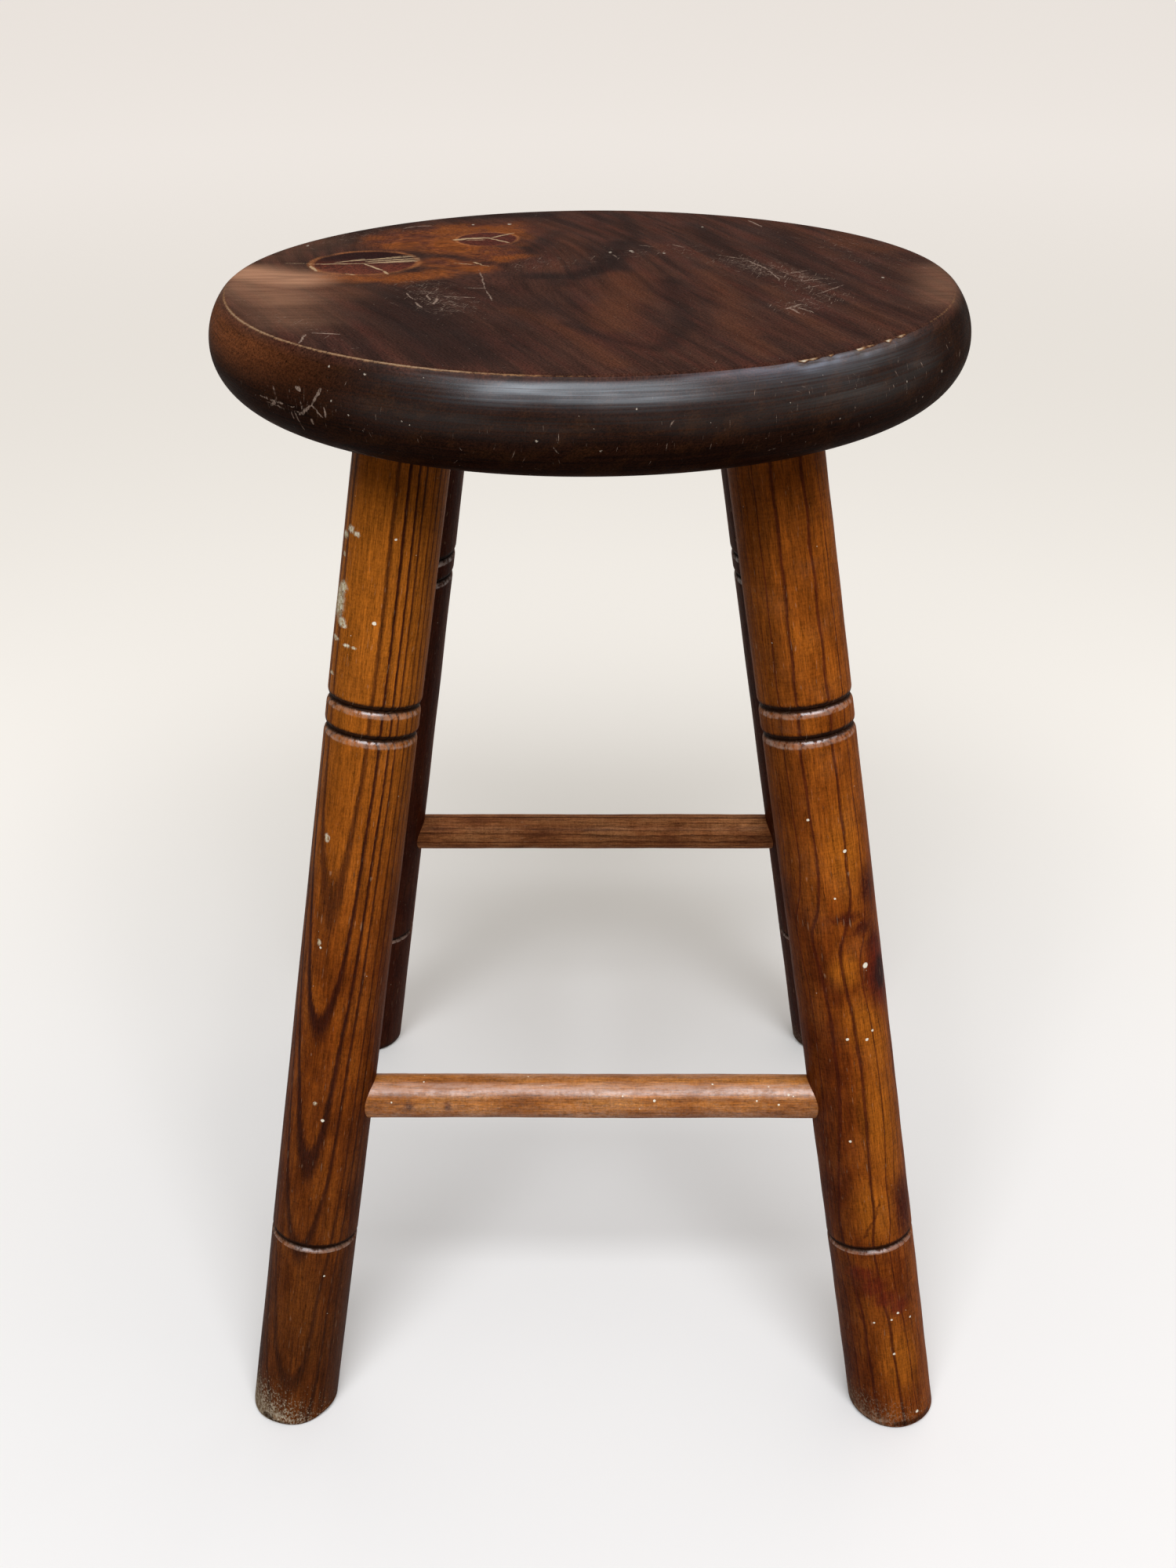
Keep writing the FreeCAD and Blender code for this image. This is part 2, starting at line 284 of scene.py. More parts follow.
def soft_lamp(name, place, target, size, power, colour):
    """A rectangular lamp of size metres that looks at target. Its light falls along its own -Z."""
    lamp = bpy.data.objects.new(name, bpy.data.lights.new(name, "AREA"))
    lamp.data.shape = "RECTANGLE"
    lamp.data.size, lamp.data.size_y = size
    lamp.data.energy = power
    lamp.data.color = colour
    back = np.array(place) - np.array(target)
    back = back / np.linalg.norm(back)
    right = np.cross((0, 1, 0), back)
    right = right / np.linalg.norm(right)
    pose = np.eye(4)
    pose[:3, :3] = np.column_stack((right, np.cross(back, right), back))
    pose[:3, 3] = place
    lamp.matrix_world = Matrix(pose.tolist())
    bpy.context.scene.collection.objects.link(lamp)


soft_lamp("overhead", OVERHEAD_PLACE, OVERHEAD_TARGET, OVERHEAD_SIZE, OVERHEAD_POWER, OVERHEAD_COLOUR)

world = bpy.data.worlds.new("studio")
world.use_nodes = True
bpy.context.scene.world = world
tree = world.node_tree
direction = add(tree, "ShaderNodeTexCoord", output="Generated")
way = add(tree, "ShaderNodeSeparateXYZ", {0: direction}).node.outputs
sky = rise(tree, way["Z"], *SKY_ABOVE)
sky = times(tree, sky, rise(tree, way["X"], *SKY_RIGHT))
sky = math(tree, "ADD", sky, rise(tree, way["Y"], *SKY_BEHIND))
rays = tree.nodes.new("ShaderNodeLightPath").outputs
mirrored = times(tree, rays["Is Glossy Ray"], rise(tree, way["Z"], *HORIZON))
seen = strongest(tree, [rays["Is Camera Ray"], mirrored, rays["Is Transmission Ray"]])
sky = blend(tree, seen, sky, SEEN_SKY)
beside = vector(tree, "DISTANCE", direction, WINDOW_WAY, output="Value")
window = times(tree, rays["Is Glossy Ray"], rise(tree, beside, *WINDOW_EDGE))
tree.links.new(blend(tree, window, sky, WINDOW_COLOUR), tree.nodes["Background"].inputs["Color"])
tree.nodes["Background"].inputs["Strength"].default_value = 1.0
print("lamp of", OVERHEAD_POWER, "W, world of", len(tree.nodes), "nodes")

# %% [markdown]
# ## Wood as a solid
# Stained pine shows three things at once. Growth rings are thin tubes of dark late wood round the pith,
# and what is seen of them depends on how the turning cuts them: straight lines where they are cut on
# edge, tall arches where the surface runs along them. Fibres are fine streaks along the grain, and a
# stain soaks in unevenly, in broad patches.
#
# A flat picture wrapped round a leg would not do. A solid does, because turning a piece out of it gives
# the right lines and arches by itself. So every point of a piece carries two things: grain, its place
# inside its own board in millimetres with Z along the grain, and rings, its distance from the pith. Both
# are worked out with the surface, and the shader only has to say where the years end.

# %% Smooth paths and the pith
LEG_RADIUS_MM = 18.0


def smooth_path(points, at):
    """A smooth curve through points (place, amount), read off at the places in at.

    Between two points it is the cubic that has their amounts and the slopes that np.gradient gives:
    h00 a0 + h10 w m0 + h01 a1 + h11 w m1, with w the stretch's width. Outside it stays level.
    """
    place, amount = np.array(points, float).T
    slope = np.gradient(amount, place)
    part = np.clip(np.searchsorted(place, at) - 1, 0, len(place) - 2)
    width = place[part + 1] - place[part]
    t = np.clip((at - place[part]) / width, 0, 1)
    from_start = (1 + 2 * t) * (1 - t) ** 2 * amount[part] + t * (1 - t) ** 2 * width * slope[part]
    from_end = t ** 2 * (3 - 2 * t) * amount[part + 1] + t ** 2 * (t - 1) * width * slope[part + 1]
    return from_start + from_end


def pith_distance(grain, far, turn, sink, slant=0.0):
    """Distance of each point of a board from its pith, in millimetres.

    The pith runs beside the piece, far millimetres from its axis. turn says towards which angle the
    rings bulge at each place along the grain, and sink how far the whole ring pattern has moved out.
    With slant, a change comes earlier on one side of the piece: places are read at
    along - slant * sin(angle). distance^2 = r^2 + far^2 + 2 r far cos(angle - turn).
    """
    radius = np.hypot(grain[..., 0], grain[..., 1])
    angle = np.arctan2(grain[..., 1], grain[..., 0])
    along = grain[..., 2] - slant * np.sin(angle) * radius / LEG_RADIUS_MM
    bulge = np.radians(smooth_path(turn, along))
    square = radius ** 2 + far ** 2 + 2 * radius * far * np.cos(angle - bulge)
    return np.sqrt(square) + smooth_path(sink, along)


# %% [markdown]
# ### Years
# The late wood of a year is under a millimetre wide. It grows dark slowly and ends sharply. Years that
# show well have places of their own, on a ramp over the distance. The rest follow one another by rule.

# %% Years
YEAR_REACH = (-0.90, -0.15, 0.08, 0.42)


def named_years(tree, distance, years, width):
    """Late wood of the years that show: a colour ramp over the distance, four stops for each year."""
    low = years[-1][0] + 2 * YEAR_REACH[0]
    high = years[0][0] + 2 * YEAR_REACH[-1]
    item = tree.nodes.new("ShaderNodeValToRGB")
    item.color_ramp.interpolation = "EASE"
    stops = item.color_ramp.elements
    stops[0].position = 0.0
    stops[0].color = (0, 0, 0, 1)
    stops.remove(stops[1])
    for radius, darkness in reversed(years):
        for reach, share in zip(YEAR_REACH, (0, 1, 1, 0)):
            stop = stops.new((radius + width * reach - low) / (high - low))
            stop.color = (share * darkness,) * 3 + (1,)
    tree.links.new(add(tree, "ShaderNodeMapRange", {"Value": distance, "From Min": low, "From Max": high}),
                   item.inputs[0])
    return item.outputs[0]


tree, given, result = new_group(
    "regular years",
    [("Distance", "Float", 50.0), ("Ring width", "Float", 2.4), ("Outermost", "Float", 100.0)],
    [("Late wood", "Float")],
)
# Good years are wide and dry years are thin: noise that runs along the distance stretches them.
ring = math(tree, "DIVIDE", given["Distance"], given["Ring width"])
weather = {"W": ring, "Scale": 0.8, "Detail": 1.0}
uneven = add(tree, "ShaderNodeTexNoise", weather, "Fac", noise_dimensions="1D")
ring = math(tree, "MULTIPLY_ADD", uneven, 1.2, ring)
part = math(tree, "FRACT", ring)
year = math(tree, "FLOOR", ring)
strength = add(tree, "ShaderNodeTexWhiteNoise", {"W": year}, "Value", noise_dimensions="1D")
late = times(tree, rise(tree, part, 0.58, 0.84), rise(tree, part, 0.90, 1.0, 1.0, 0.0))
late = times(tree, late, rise(tree, strength, 0.0, 1.0, 0.35, 1.0))
fading = math(tree, "SUBTRACT", given["Outermost"], 0.6)
inside = rise(tree, given["Distance"], fading, given["Outermost"], 1.0, 0.0)
tree.links.new(times(tree, late, inside), result["Late wood"])
regular_years = tree

# %% [markdown]
# ### Fibres and stain
# Streaks of three sizes lie along the grain and shade the stain. The same group hands out the slower
# patches and the fine mottle that the finishes work with.

# %% Fibres and stain
# Each kind of streak: the size of its lumps across and along the grain in millimetres, and its weight.
STREAKS = (((0.32, 0.32, 5.0), 1.5), ((0.75, 0.75, 16.0), 1.1), ((2.2, 2.2, 45.0), 0.7))

tree, given, result = new_group(
    "fibres and stain",
    [("Grain", "Vector", None), ("Fibre depth", "Float", 1.0), ("Grit depth", "Float", 0.8),
     ("Ripple depth", "Float", 0.3)],
    [("Shade", "Color"), ("Streak", "Float"), ("Patch", "Float"), ("Mottle", "Float"), ("Fibre", "Float")],
)
# Shade darkens and lightens the stain about 1: long streaks, fine grit, and the ripple of the gouge.
total = 0.0
for lump, weight in STREAKS:
    fibre = noise(tree, given["Grain"], lump, 2.0, 0.6)
    total = math(tree, "MULTIPLY_ADD", math(tree, "SUBTRACT", fibre, 0.5), weight, total)
shade = math(tree, "MULTIPLY_ADD", total, given["Fibre depth"], 1.0)
grit = math(tree, "SUBTRACT", noise(tree, given["Grain"], (0.7, 0.7, 0.9), 2.0, 0.7), 0.5)
shade = math(tree, "MULTIPLY_ADD", grit, given["Grit depth"], shade)
ripple = math(tree, "SUBTRACT", noise(tree, given["Grain"], (9.0, 9.0, 0.7), 2.0, 0.6), 0.5)
shade = math(tree, "MULTIPLY_ADD", ripple, given["Ripple depth"], shade)
tree.links.new(math(tree, "MAXIMUM", shade, 0.15), result["Shade"])
tree.links.new(total, result["Fibre"])
tree.links.new(noise(tree, given["Grain"], (2.0, 2.0, 50.0), 3.0, 0.55), result["Streak"])
tree.links.new(noise(tree, given["Grain"], (13.0, 13.0, 30.0), 4.0, 0.6), result["Patch"])
tree.links.new(noise(tree, given["Grain"], (1.5, 1.5, 2.0), 3.0, 0.7), result["Mottle"])
fibres = tree

# %% [markdown]
# ### Hairline scratches
# Noise with long thin lumps, cut off near its peaks, leaves fine lines. Three turns of it cross.

# %% Hairline scratches
HAIRLINE_WAYS = (0.35, 1.31, 2.23)

tree, given, result = new_group(
    "hairline scratches", [("Place", "Vector", None), ("Density", "Float", 0.3)], [("Mask", "Float")])
more = times(tree, given["Density"], 0.16)
total = 0.0
for way in HAIRLINE_WAYS:
    line = noise(tree, given["Place"], (8.0, 0.42, 7.0), 1.0, 0.5, turn=way)
    total = math(tree, "MAXIMUM", rise(tree, math(tree, "ADD", line, more), 0.775, 0.85), total)
tree.links.new(total, result["Mask"])
hairlines = tree

# %% [markdown]
# ## Marks on the wood
# Knots, cracks, scratches and specks of paint all have a place of their own. A spot is a mask round a
# point, a stroke a mask along a short line, and both get ragged edges because the place that they are
# given is first pushed about by noise. Tiny pale specks are too many to place one by one: they are the
# middles of the cells of a Voronoi pattern, in the few cells that chance picks.

# %% Spot, stroke and speck groups
tree, given, result = new_group(
    "spot",
    [("Place", "Vector", None), ("Centre", "Vector", (0, 0, 0)), ("Radii", "Vector", (1, 1, 1)),
     ("Edge", "Float", 0.2)],
    [("Mask", "Float"), ("Spread", "Float")],
)
offset = seen_from(tree, given["Place"], given["Centre"], given["Radii"])
spread = vector(tree, "LENGTH", offset, output="Value")
inner = math(tree, "SUBTRACT", 1.0, given["Edge"])
tree.links.new(rise(tree, spread, inner, 1.0, 1.0, 0.0), result["Mask"])
tree.links.new(spread, result["Spread"])
spot = tree

tree, given, result = new_group(
    "stroke",
    [("Place", "Vector", None), ("Start", "Vector", (0, 0, 0)), ("End", "Vector", (1, 0, 0)),
     ("Width", "Float", 1.0)],
    [("Mask", "Float")],
)
# With g from the start to the place, s the stroke and u = g . s / s^2, the nearest point is at the
# share c = clamped u, and the distance from it squared is g^2 - s^2 (2 u c - c^2).
span = vector(tree, "SUBTRACT", given["End"], given["Start"])
square = vector(tree, "DOT_PRODUCT", span, span, output="Value")
begin = vector(tree, "DOT_PRODUCT", given["Start"], span, output="Value")
gone = vector(tree, "DISTANCE", given["Place"], given["Start"], output="Value")
reach = math(tree, "SUBTRACT", vector(tree, "DOT_PRODUCT", given["Place"], span, output="Value"), begin)
reach = math(tree, "DIVIDE", reach, square)
share = math(tree, "MINIMUM", math(tree, "MAXIMUM", reach, 0.0), 1.0)
saved = times(tree, share, math(tree, "SUBTRACT", times(tree, reach, 2.0), share))
off = math(tree, "SUBTRACT", times(tree, gone, gone), times(tree, saved, square))
off = math(tree, "SQRT", math(tree, "MAXIMUM", off, 0.0))
# A stroke is widest in the middle: the root of the share gone times the share to go.
taper = math(tree, "SQRT", times(tree, share, math(tree, "SUBTRACT", 1.0, share)))
wide = times(tree, given["Width"], math(tree, "ADD", taper, 0.12))
tree.links.new(rise(tree, off, times(tree, wide, 0.4), wide, 1.0, 0.0), result["Mask"])
stroke = tree

tree, given, result = new_group(
    "dust specks",
    [("Place", "Vector", None), ("Spacing", "Float", 7.0), ("Share", "Float", 0.3)],
    [("Mask", "Float")],
)
voronoi = tree.nodes.new("ShaderNodeTexVoronoi")
tree.links.new(given["Place"], voronoi.inputs["Vector"])
tree.links.new(math(tree, "DIVIDE", 1.0, given["Spacing"]), voronoi.inputs["Scale"])
drawn = add(tree, "ShaderNodeSeparateColor", {0: voronoi.outputs["Color"]}, 0)
size = math(tree, "MULTIPLY_ADD", math(tree, "DIVIDE", drawn, given["Share"]), 0.05, 0.02)
dot = rise(tree, voronoi.outputs["Distance"], times(tree, size, 0.6), size, 1.0, 0.0)
tree.links.new(times(tree, dot, math(tree, "LESS_THAN", drawn, given["Share"])), result["Mask"])
dust_specks = tree
print("groups:", ", ".join(group.name for group in bpy.data.node_groups))


def ragged(tree, place, lump, size):
    """A place pushed about by noise with lumps of one size, up to about half of size each way.

    A linear light mix is first + share (2 second - 1), so with the noise as the second it does just that.
    """
    push = noise(tree, place, (lump,) * 3, 4.0, 0.65, "Color")
    return add(tree, "ShaderNodeMix", {0: size / 2, 6: place, 7: push}, 2, data_type="RGBA",
               blend_type="LINEAR_LIGHT", clamp_factor=False)


def strokes(tree, place, marks):
    """The strongest of many strokes. Each is (start, end, width)."""
    total = 0.0
    for start, end, wide in marks:
        mask = use(tree, stroke, {"Place": place, "Start": start, "End": end, "Width": wide})["Mask"]
        total = math(tree, "MAXIMUM", mask, total)
    return total


def spots(tree, place, marks, edge=0.3):
    """The strongest of many spots. Each is (centre, radii)."""
    total = 0.0
    for centre, radii in marks:
        mask = use(tree, spot, {"Place": place, "Centre": centre, "Radii": radii, "Edge": edge})["Mask"]
        total = math(tree, "MAXIMUM", mask, total)
    return total


# %% [markdown]
# ## Surfaces from a grid
# Everything here was turned on a lathe, so every piece is a grid of points: rings of points, one after
# another along the piece. One function sews such a grid into a closed mesh. It joins each ring to the
# next with four-sided faces and closes both ends with a fan to one middle point. Values that the finish
# needs at each point, such as its place in the board and how worn it is, go in as attributes.

# %% Sewing a grid into a mesh


def with_ends(values):
    """A grid's values as one list, with the mean of the first ring and of the last ring at its end."""
    flat = values.reshape(values.shape[0] * values.shape[1], -1)
    return np.concatenate((flat, flat[:values.shape[1]].mean(0)[None], flat[-values.shape[1]:].mean(0)[None]))


def sew(name, rings, attributes, node):
    """A closed, smooth mesh from rings[i, j], ring i and place j round it, both ends fanned shut.

    The enclosed volume is a sixth of the sum of a . (b x c) over all triangles. Where it is negative
    the faces point inwards, and they are turned.
    """
    ring_count, step_count, _ = rings.shape
    points = with_ends(rings)
    index = np.arange(ring_count * step_count).reshape(ring_count, step_count)
    onward = np.roll(index, -1, axis=1)
    quads = np.stack((index[:-1], onward[:-1], onward[1:], index[1:]), -1).reshape(-1, 4)
    first, last = len(points) - 2, len(points) - 1
    start_fan = np.stack((np.full(step_count, first), onward[0], index[0]), -1)
    end_fan = np.stack((np.full(step_count, last), index[-1], onward[-1]), -1)
    triangles = np.concatenate((quads[:, [0, 1, 2]], quads[:, [0, 2, 3]], start_fan, end_fan))
    a, b, c = (points[triangles[:, corner]] for corner in range(3))
    volume = np.einsum("ij,ij->i", a, np.cross(b, c)).sum() / 6
    faces = [*quads.tolist(), *start_fan.tolist(), *end_fan.tolist()]
    if volume < 0:
        faces = [face[::-1] for face in faces]
    mesh = bpy.data.meshes.new(name)
    mesh.from_pydata(points.tolist(), [], faces)
    mesh.polygons.foreach_set("use_smooth", np.ones(len(mesh.polygons), bool))
    for label, values in attributes.items():
        flat = with_ends(values)
        kind, key = ("FLOAT_VECTOR", "vector") if flat.shape[1] == 3 else ("FLOAT", "value")
        mesh.attributes.new(label, kind, "POINT").data.foreach_set(key, flat.ravel().astype(np.float32))
    piece = bpy.data.objects.new(name, mesh)
    bpy.context.scene.collection.objects.link(piece)
    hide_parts(node)
    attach(piece, "root")
    print(name, len(triangles), "triangles,", round(abs(volume) * 1e6, 1), "cm3")
    return piece


def bumps(angle, length, seed, waves=7):
    """Gentle unevenness of a hand-turned surface, between about -1 and 1.

    A sum of a few sine waves round the piece and along it, each with its own phase from a seeded draw.
    """
    chance = np.random.default_rng(seed)
    total = np.zeros(np.broadcast(angle, length).shape)
    for _ in range(waves):
        turns = chance.integers(1, 6)
        pitch = chance.uniform(0.02, 0.12)
        phase = chance.uniform(0, 2 * np.pi, 2)
        total = total + np.sin(turns * angle + phase[0]) * np.sin(2 * np.pi * length / pitch + phase[1])
    return total / np.sqrt(waves)


def brushed(points, marks):
    """Strength of soft brush strokes at each point: strength * exp(-(gap / half width)^2).

    A mark is (strength, half width, path). The gap is the distance from the nearest stretch of its
    path, and the strongest mark counts.
    """
    total = np.zeros(points.shape[:-1])
    for strength, half_width, path in marks:
        path = np.array(path, float)
        for start, span in zip(path[:-1], np.diff(path, axis=0)):
            share = np.clip((points - start) @ span / (span @ span), 0, 1)
            gap = np.linalg.norm(points - start - share[..., None] * span, axis=-1)
            total = np.maximum(total, strength * np.exp(-(gap / half_width) ** 2))
    return total


# %% [markdown]
# ## The seat
# The seat is a board turned to a disc with a half-round edge. Its flat top meets the rounded side at an
# arris, which years of use have rubbed pale and chipped. Boolean cuts could make chips, but a worn edge
# is a change of radius: the profile's corner is cut back by a depth that varies round the seat.

# %% Seat outline
SEAT_RADIUS = 0.1455
SEAT_BELLY_DEPTH = 0.0171
ARRIS_INSET = 0.0070
SEAT_STEPS = 480
# Chips in the arris: the angle from +X in degrees, the half width in degrees and the depth in metres.
ARRIS_CHIPS = ((-39.7, 1.3, 0.0006), (-42.9, 0.7, 0.0009), (-47.0, 1.8, 0.0006), (-49.2, 0.6, 0.0010),
               (-54.8, 0.7, 0.0007), (-57.8, 1.5, 0.0008), (-59.6, 0.5, 0.0011), (-64.0, 2.0, 0.0004))
RUBBED_DEPTH = 0.0003
UNDER_EDGE_RADIUS = 0.1268
seat_top = seat_high[2]
seat_bottom = seat_low[2]
seat_arc = (ARRIS_INSET ** 2 + SEAT_BELLY_DEPTH ** 2) / (2 * ARRIS_INSET)
seat_tuck = seat_top - seat_bottom - SEAT_BELLY_DEPTH


def seat_profile():
    """Radius and height of the seat's outline, from the middle of the top to the middle of the bottom.

    The top runs out flat to the arris. From there an arc falls to the belly line, where it is upright,
    and a quarter circle brings it in to the flat bottom.
    """
    arris = SEAT_RADIUS - ARRIS_INSET
    arc, low = seat_arc, seat_tuck
    start = np.arcsin(SEAT_BELLY_DEPTH / arc)
    flat = np.concatenate((np.linspace(0.004, arris - 0.004, 62), np.linspace(arris - 0.0036, arris, 12)))
    swing = np.concatenate((np.linspace(start, start * 0.82, 12)[1:], np.linspace(start * 0.80, 0, 20)))
    tuck = np.linspace(0, np.pi / 2, 26)[1:]
    under = np.linspace(SEAT_RADIUS - low, 0.004, 16)[1:]
    belly = seat_top - SEAT_BELLY_DEPTH
    radius = (flat, SEAT_RADIUS - arc + arc * np.cos(swing), SEAT_RADIUS - low + low * np.cos(tuck), under)
    height = (np.full(len(flat), seat_top), belly + arc * np.sin(swing), belly - low * np.sin(tuck),
              np.full(len(under), seat_bottom))
    return np.concatenate(radius), np.concatenate(height)


angle = np.linspace(0, 2 * np.pi, SEAT_STEPS, endpoint=False)[None, :]
radius, height = (np.repeat(values[:, None], SEAT_STEPS, 1) for values in seat_profile())
depth = RUBBED_DEPTH + 0.00011 * bumps(angle, 0.0, 5)
for middle, half_width, deep in ARRIS_CHIPS:
    turn = np.degrees(np.angle(np.exp(1j * (angle - np.radians(middle)))))
    depth = depth + deep * np.exp(-(turn / half_width) ** 2)
from_arris = np.hypot(radius - SEAT_RADIUS + ARRIS_INSET, height - seat_top)
cut = depth * np.exp(-(from_arris / (0.0006 + 1.6 * depth)) ** 2)
radius = radius - 0.55 * cut
height = height - 0.80 * cut
height = height + np.where(height > seat_bottom + 0.001, 0.00006 * bumps(angle, radius, 8), 0.0)
seat_rings = np.stack((radius * np.cos(angle), radius * np.sin(angle), height), -1)
print("seat grid", seat_rings.shape, "deepest chip", round(depth.max() * 1000, 2), "mm")

# %% [markdown]
# ### The figure of the seat board
# The grain runs from the back to the front right, and parts round two big knots at the back left. Broad
# bands of dark and of reddish wood follow it. A few soft brush strokes place the bands, given in
# millimetres from the seat's middle, because no formula would put them where this board has them. The
# fibres follow by themselves: the board's own axes are pushed aside round the knots.

# %% Seat figure
GRAIN_ANGLE = np.radians(-68)
KNOT_PLACE = np.array((-62, 45))
# The knots push the grain aside: by how many millimetres at most, how far beside them it is at its most,
# and how far the push reaches along the grain and across it.
PUSH = 26
PUSH_ONSET = 20
PUSH_ALONG = 62
PUSH_ACROSS = 80
DARK_BANDS = (
    (0.60, 7, ((-15, 88), (-20, 64), (-27, 46), (-30, 30))),
    (1.00, 8, ((12, 64), (10, 38), (5, 16), (-7, 1), (-20, 3))),
    (0.70, 9, ((-14, 4), (-10, -10))),
    (0.70, 5, ((13, 128), (17, 98), (19, 74))),
    (0.55, 4, ((1, 132), (4, 104))),
    (0.90, 7, ((-92, -9), (-76, -6), (-62, -14))),
    (0.95, 22, ((-70, -30), (-62, -60), (-48, -95), (-40, -112))),
    (0.60, 14, ((-38, -20), (-22, -50), (-25, -100))),
    (0.75, 7, ((30, -8), (34, -45), (33, -78), (26, -104))),
    (0.70, 5, ((-8, -72), (8, -94), (24, -108))),
    (0.50, 3, ((40, -38), (43, -75))),
    (0.60, 4, ((60, -92), (70, -118))),
    (0.60, 5, ((84, -58), (93, -92))),
    (0.65, 7, ((44, 104), (51, 64), (60, 30), (66, 2))),
    (0.60, 9, ((75, 62), (86, 20), (96, -20))),
    (0.50, 7, ((110, 22), (118, -10), (114, -42))),
    (1.00, 9, ((-58, 124), (-40, 127), (-22, 128))),
    (0.80, 9, ((-118, 84), (-102, 72), (-114, 54))),
    (0.80, 10, ((-84, 108), (-98, 92))),
)
RED_BANDS = (
    (0.85, 12, ((13, 2), (14, -30), (8, -60), (10, -76))),
    (0.60, 9, ((45, 8), (52, -30), (50, -70), (58, -112))),
    (0.75, 6, ((-26, -52), (-6, -84), (10, -126))),
    (0.75, 12, ((112, 96), (106, 62), (120, 52))),
    (0.55, 6, ((68, -18), (75, -60), (84, -96))),
    (0.50, 8, ((96, -48), (106, -84))),
    (0.70, 12, ((-102, -8), (-92, -20), (-86, -26))),
    (0.40, 5, ((40, 92), (45, 52), (48, 22))),
    (0.50, 9, ((-22, 104), (-8, 72), (-8, 34), (-15, 14))),
    (0.50, 7, ((70, 118), (88, 88), (98, 40))),
    (0.45, 5, ((28, 60), (24, 20), (30, 4))),
)
# Painted sheen: a pale haze on the top near its left and right rims, where the varnish mirrors the light.
PAINTED_SHEEN = (
    (0.92, 16, ((-134, 10), (-113, -3))),
    (0.50, 20, ((-130, -12), (-112, -34))),
    (0.32, 20, ((-114, -38), (-104, -66))),
    (0.18, 24, ((-106, 0), (-96, -30))),
    (0.36, 14, ((137, 12), (131, -38))),
    (0.20, 18, ((-128, 40), (-112, 70))),
)
SCUFFS = (
    (1.00, 13, ((58, 30), (72, 8), (84, -4))),
    (0.85, 10, ((80, -18), (90, -30), (72, -52))),
    (0.95, 12, ((-64, -10), (-56, -34), (-48, -50))),
    (0.55, 14, ((-30, 20), (10, 44), (36, 50))),
    (0.45, 16, ((100, 62), (112, 20))),
    (0.55, 9, ((-112, -60), (-90, -86))),
    (0.60, 12, ((-110, 70), (-90, 92))),
)
# Scuffs of the side: degrees from the front and millimetres below the top.
SIDE_SCUFFS = (
    (0.60, 4, ((-48, 19), (-38, 17))),
    (0.40, 7, ((34, 9), (62, 14))),
    (0.24, 8, ((-32, 19), (0, 23), (34, 19))),
)
ORANGE = (
    (0.95, 22, ((-78, 72), (-60, 88), (-44, 92))),
    (0.90, 16, ((-62, 62), (-46, 50), (-38, 40))),
    (0.72, 12, ((-103, 6), (-90, 0), (-74, -1), (-58, 8))),
    (0.80, 12, ((-60, 30), (-44, 18))),
    (0.45, 8, ((-31, 94), (-27, 76), (-31, 62))),
)

plan = seat_rings[..., :2] * 1000
grain_way = np.array((np.cos(GRAIN_ANGLE), np.sin(GRAIN_ANGLE)))
cross_way = np.array((-np.sin(GRAIN_ANGLE), np.cos(GRAIN_ANGLE)))
along = (plan - KNOT_PLACE) @ grain_way
across = (plan - KNOT_PLACE) @ cross_way
# Like water round a post, the lines are pushed off beside the knots, and less and less away from them.
fading = np.exp(-(along / PUSH_ALONG) ** 2 - (across / PUSH_ACROSS) ** 2)
pushed = PUSH * np.tanh(across / PUSH_ONSET) * fading
seat_depth = (seat_top - seat_rings[..., 2]) * 1000
seat_grain = np.stack((across - pushed + 0.35 * seat_depth, seat_depth, along), -1)
on_top = np.clip(1 - seat_depth / 3.5, 0, 1)
figure = np.stack((brushed(plan, DARK_BANDS), brushed(plan, RED_BANDS), brushed(plan, ORANGE)), -1)
painted_sheen = brushed(plan, PAINTED_SHEEN) * np.clip(1 - seat_depth / 4, 0, 1)
under_edge = np.hypot(radius - UNDER_EDGE_RADIUS, height - seat_bottom)
# The left half of the arris is rubbed pale all along, the right half only where it is chipped.
azimuth = np.degrees(np.arctan2(seat_rings[..., 1], seat_rings[..., 0]))
from_front = (azimuth + 270) % 360 - 180
rubbed = 0.12 + 0.50 * np.exp(-((from_front + 45) / 47) ** 4) + 0.26 * np.exp(-((from_front - 70) / 22) ** 2)
seat_wear = np.exp(-(from_arris / 0.0010) ** 2) * (rubbed + 0.75 * (depth - RUBBED_DEPTH) / 0.001)
seat_wear = np.maximum(seat_wear, 0.32 * np.exp(-(under_edge / 0.002) ** 2)).clip(0, 1)
warm_side = np.exp(-((from_front + 67) / 21) ** 2) * np.clip(1.5 - seat_depth / 12, 0, 1)
# The front of the side kept its gloss, and the back some of it. Round the sides hands have rubbed it dull.
polish = np.exp(-(np.maximum(seat_depth - 6.0, 0) / 8.0) ** 2) * (radius > SEAT_RADIUS - ARRIS_INSET + 0.0001)
kept = 0.02 + 0.98 * np.exp(-((from_front - 11) / 42) ** 8)
kept = kept + 0.45 * np.exp(-((180 - np.abs(from_front)) / 60) ** 4)
polish = polish * kept
polish = polish * (0.84 + 0.56 * np.minimum(np.abs(from_front - 6) / 32, 1) ** 2)
around = np.stack((from_front, seat_depth), -1)
scuff = np.where(seat_depth < 1, brushed(plan, SCUFFS), brushed(around, SIDE_SCUFFS))
seat_attributes = {"grain": seat_grain, "polish": polish, "figure": figure * on_top[..., None], "painted_sheen": painted_sheen,
                   "wear": seat_wear, "side": 1 - on_top, "warm": warm_side, "scuff": scuff}
seat = sew("seat_board", seat_rings, seat_attributes, "seat")

# %% [markdown]
# ### The seat's finish
# The stain on the seat is nearly black. Round the knots the resin has kept it out, and the wood there is
# orange. The knots themselves have dried and cracked, and the cracks hold pale dust. Sitting has dulled
# the varnish on the top, while the rounded side still mirrors the light, so the coat is strong there.
# Every mark has its place here, measured from the seat's middle or round its side.

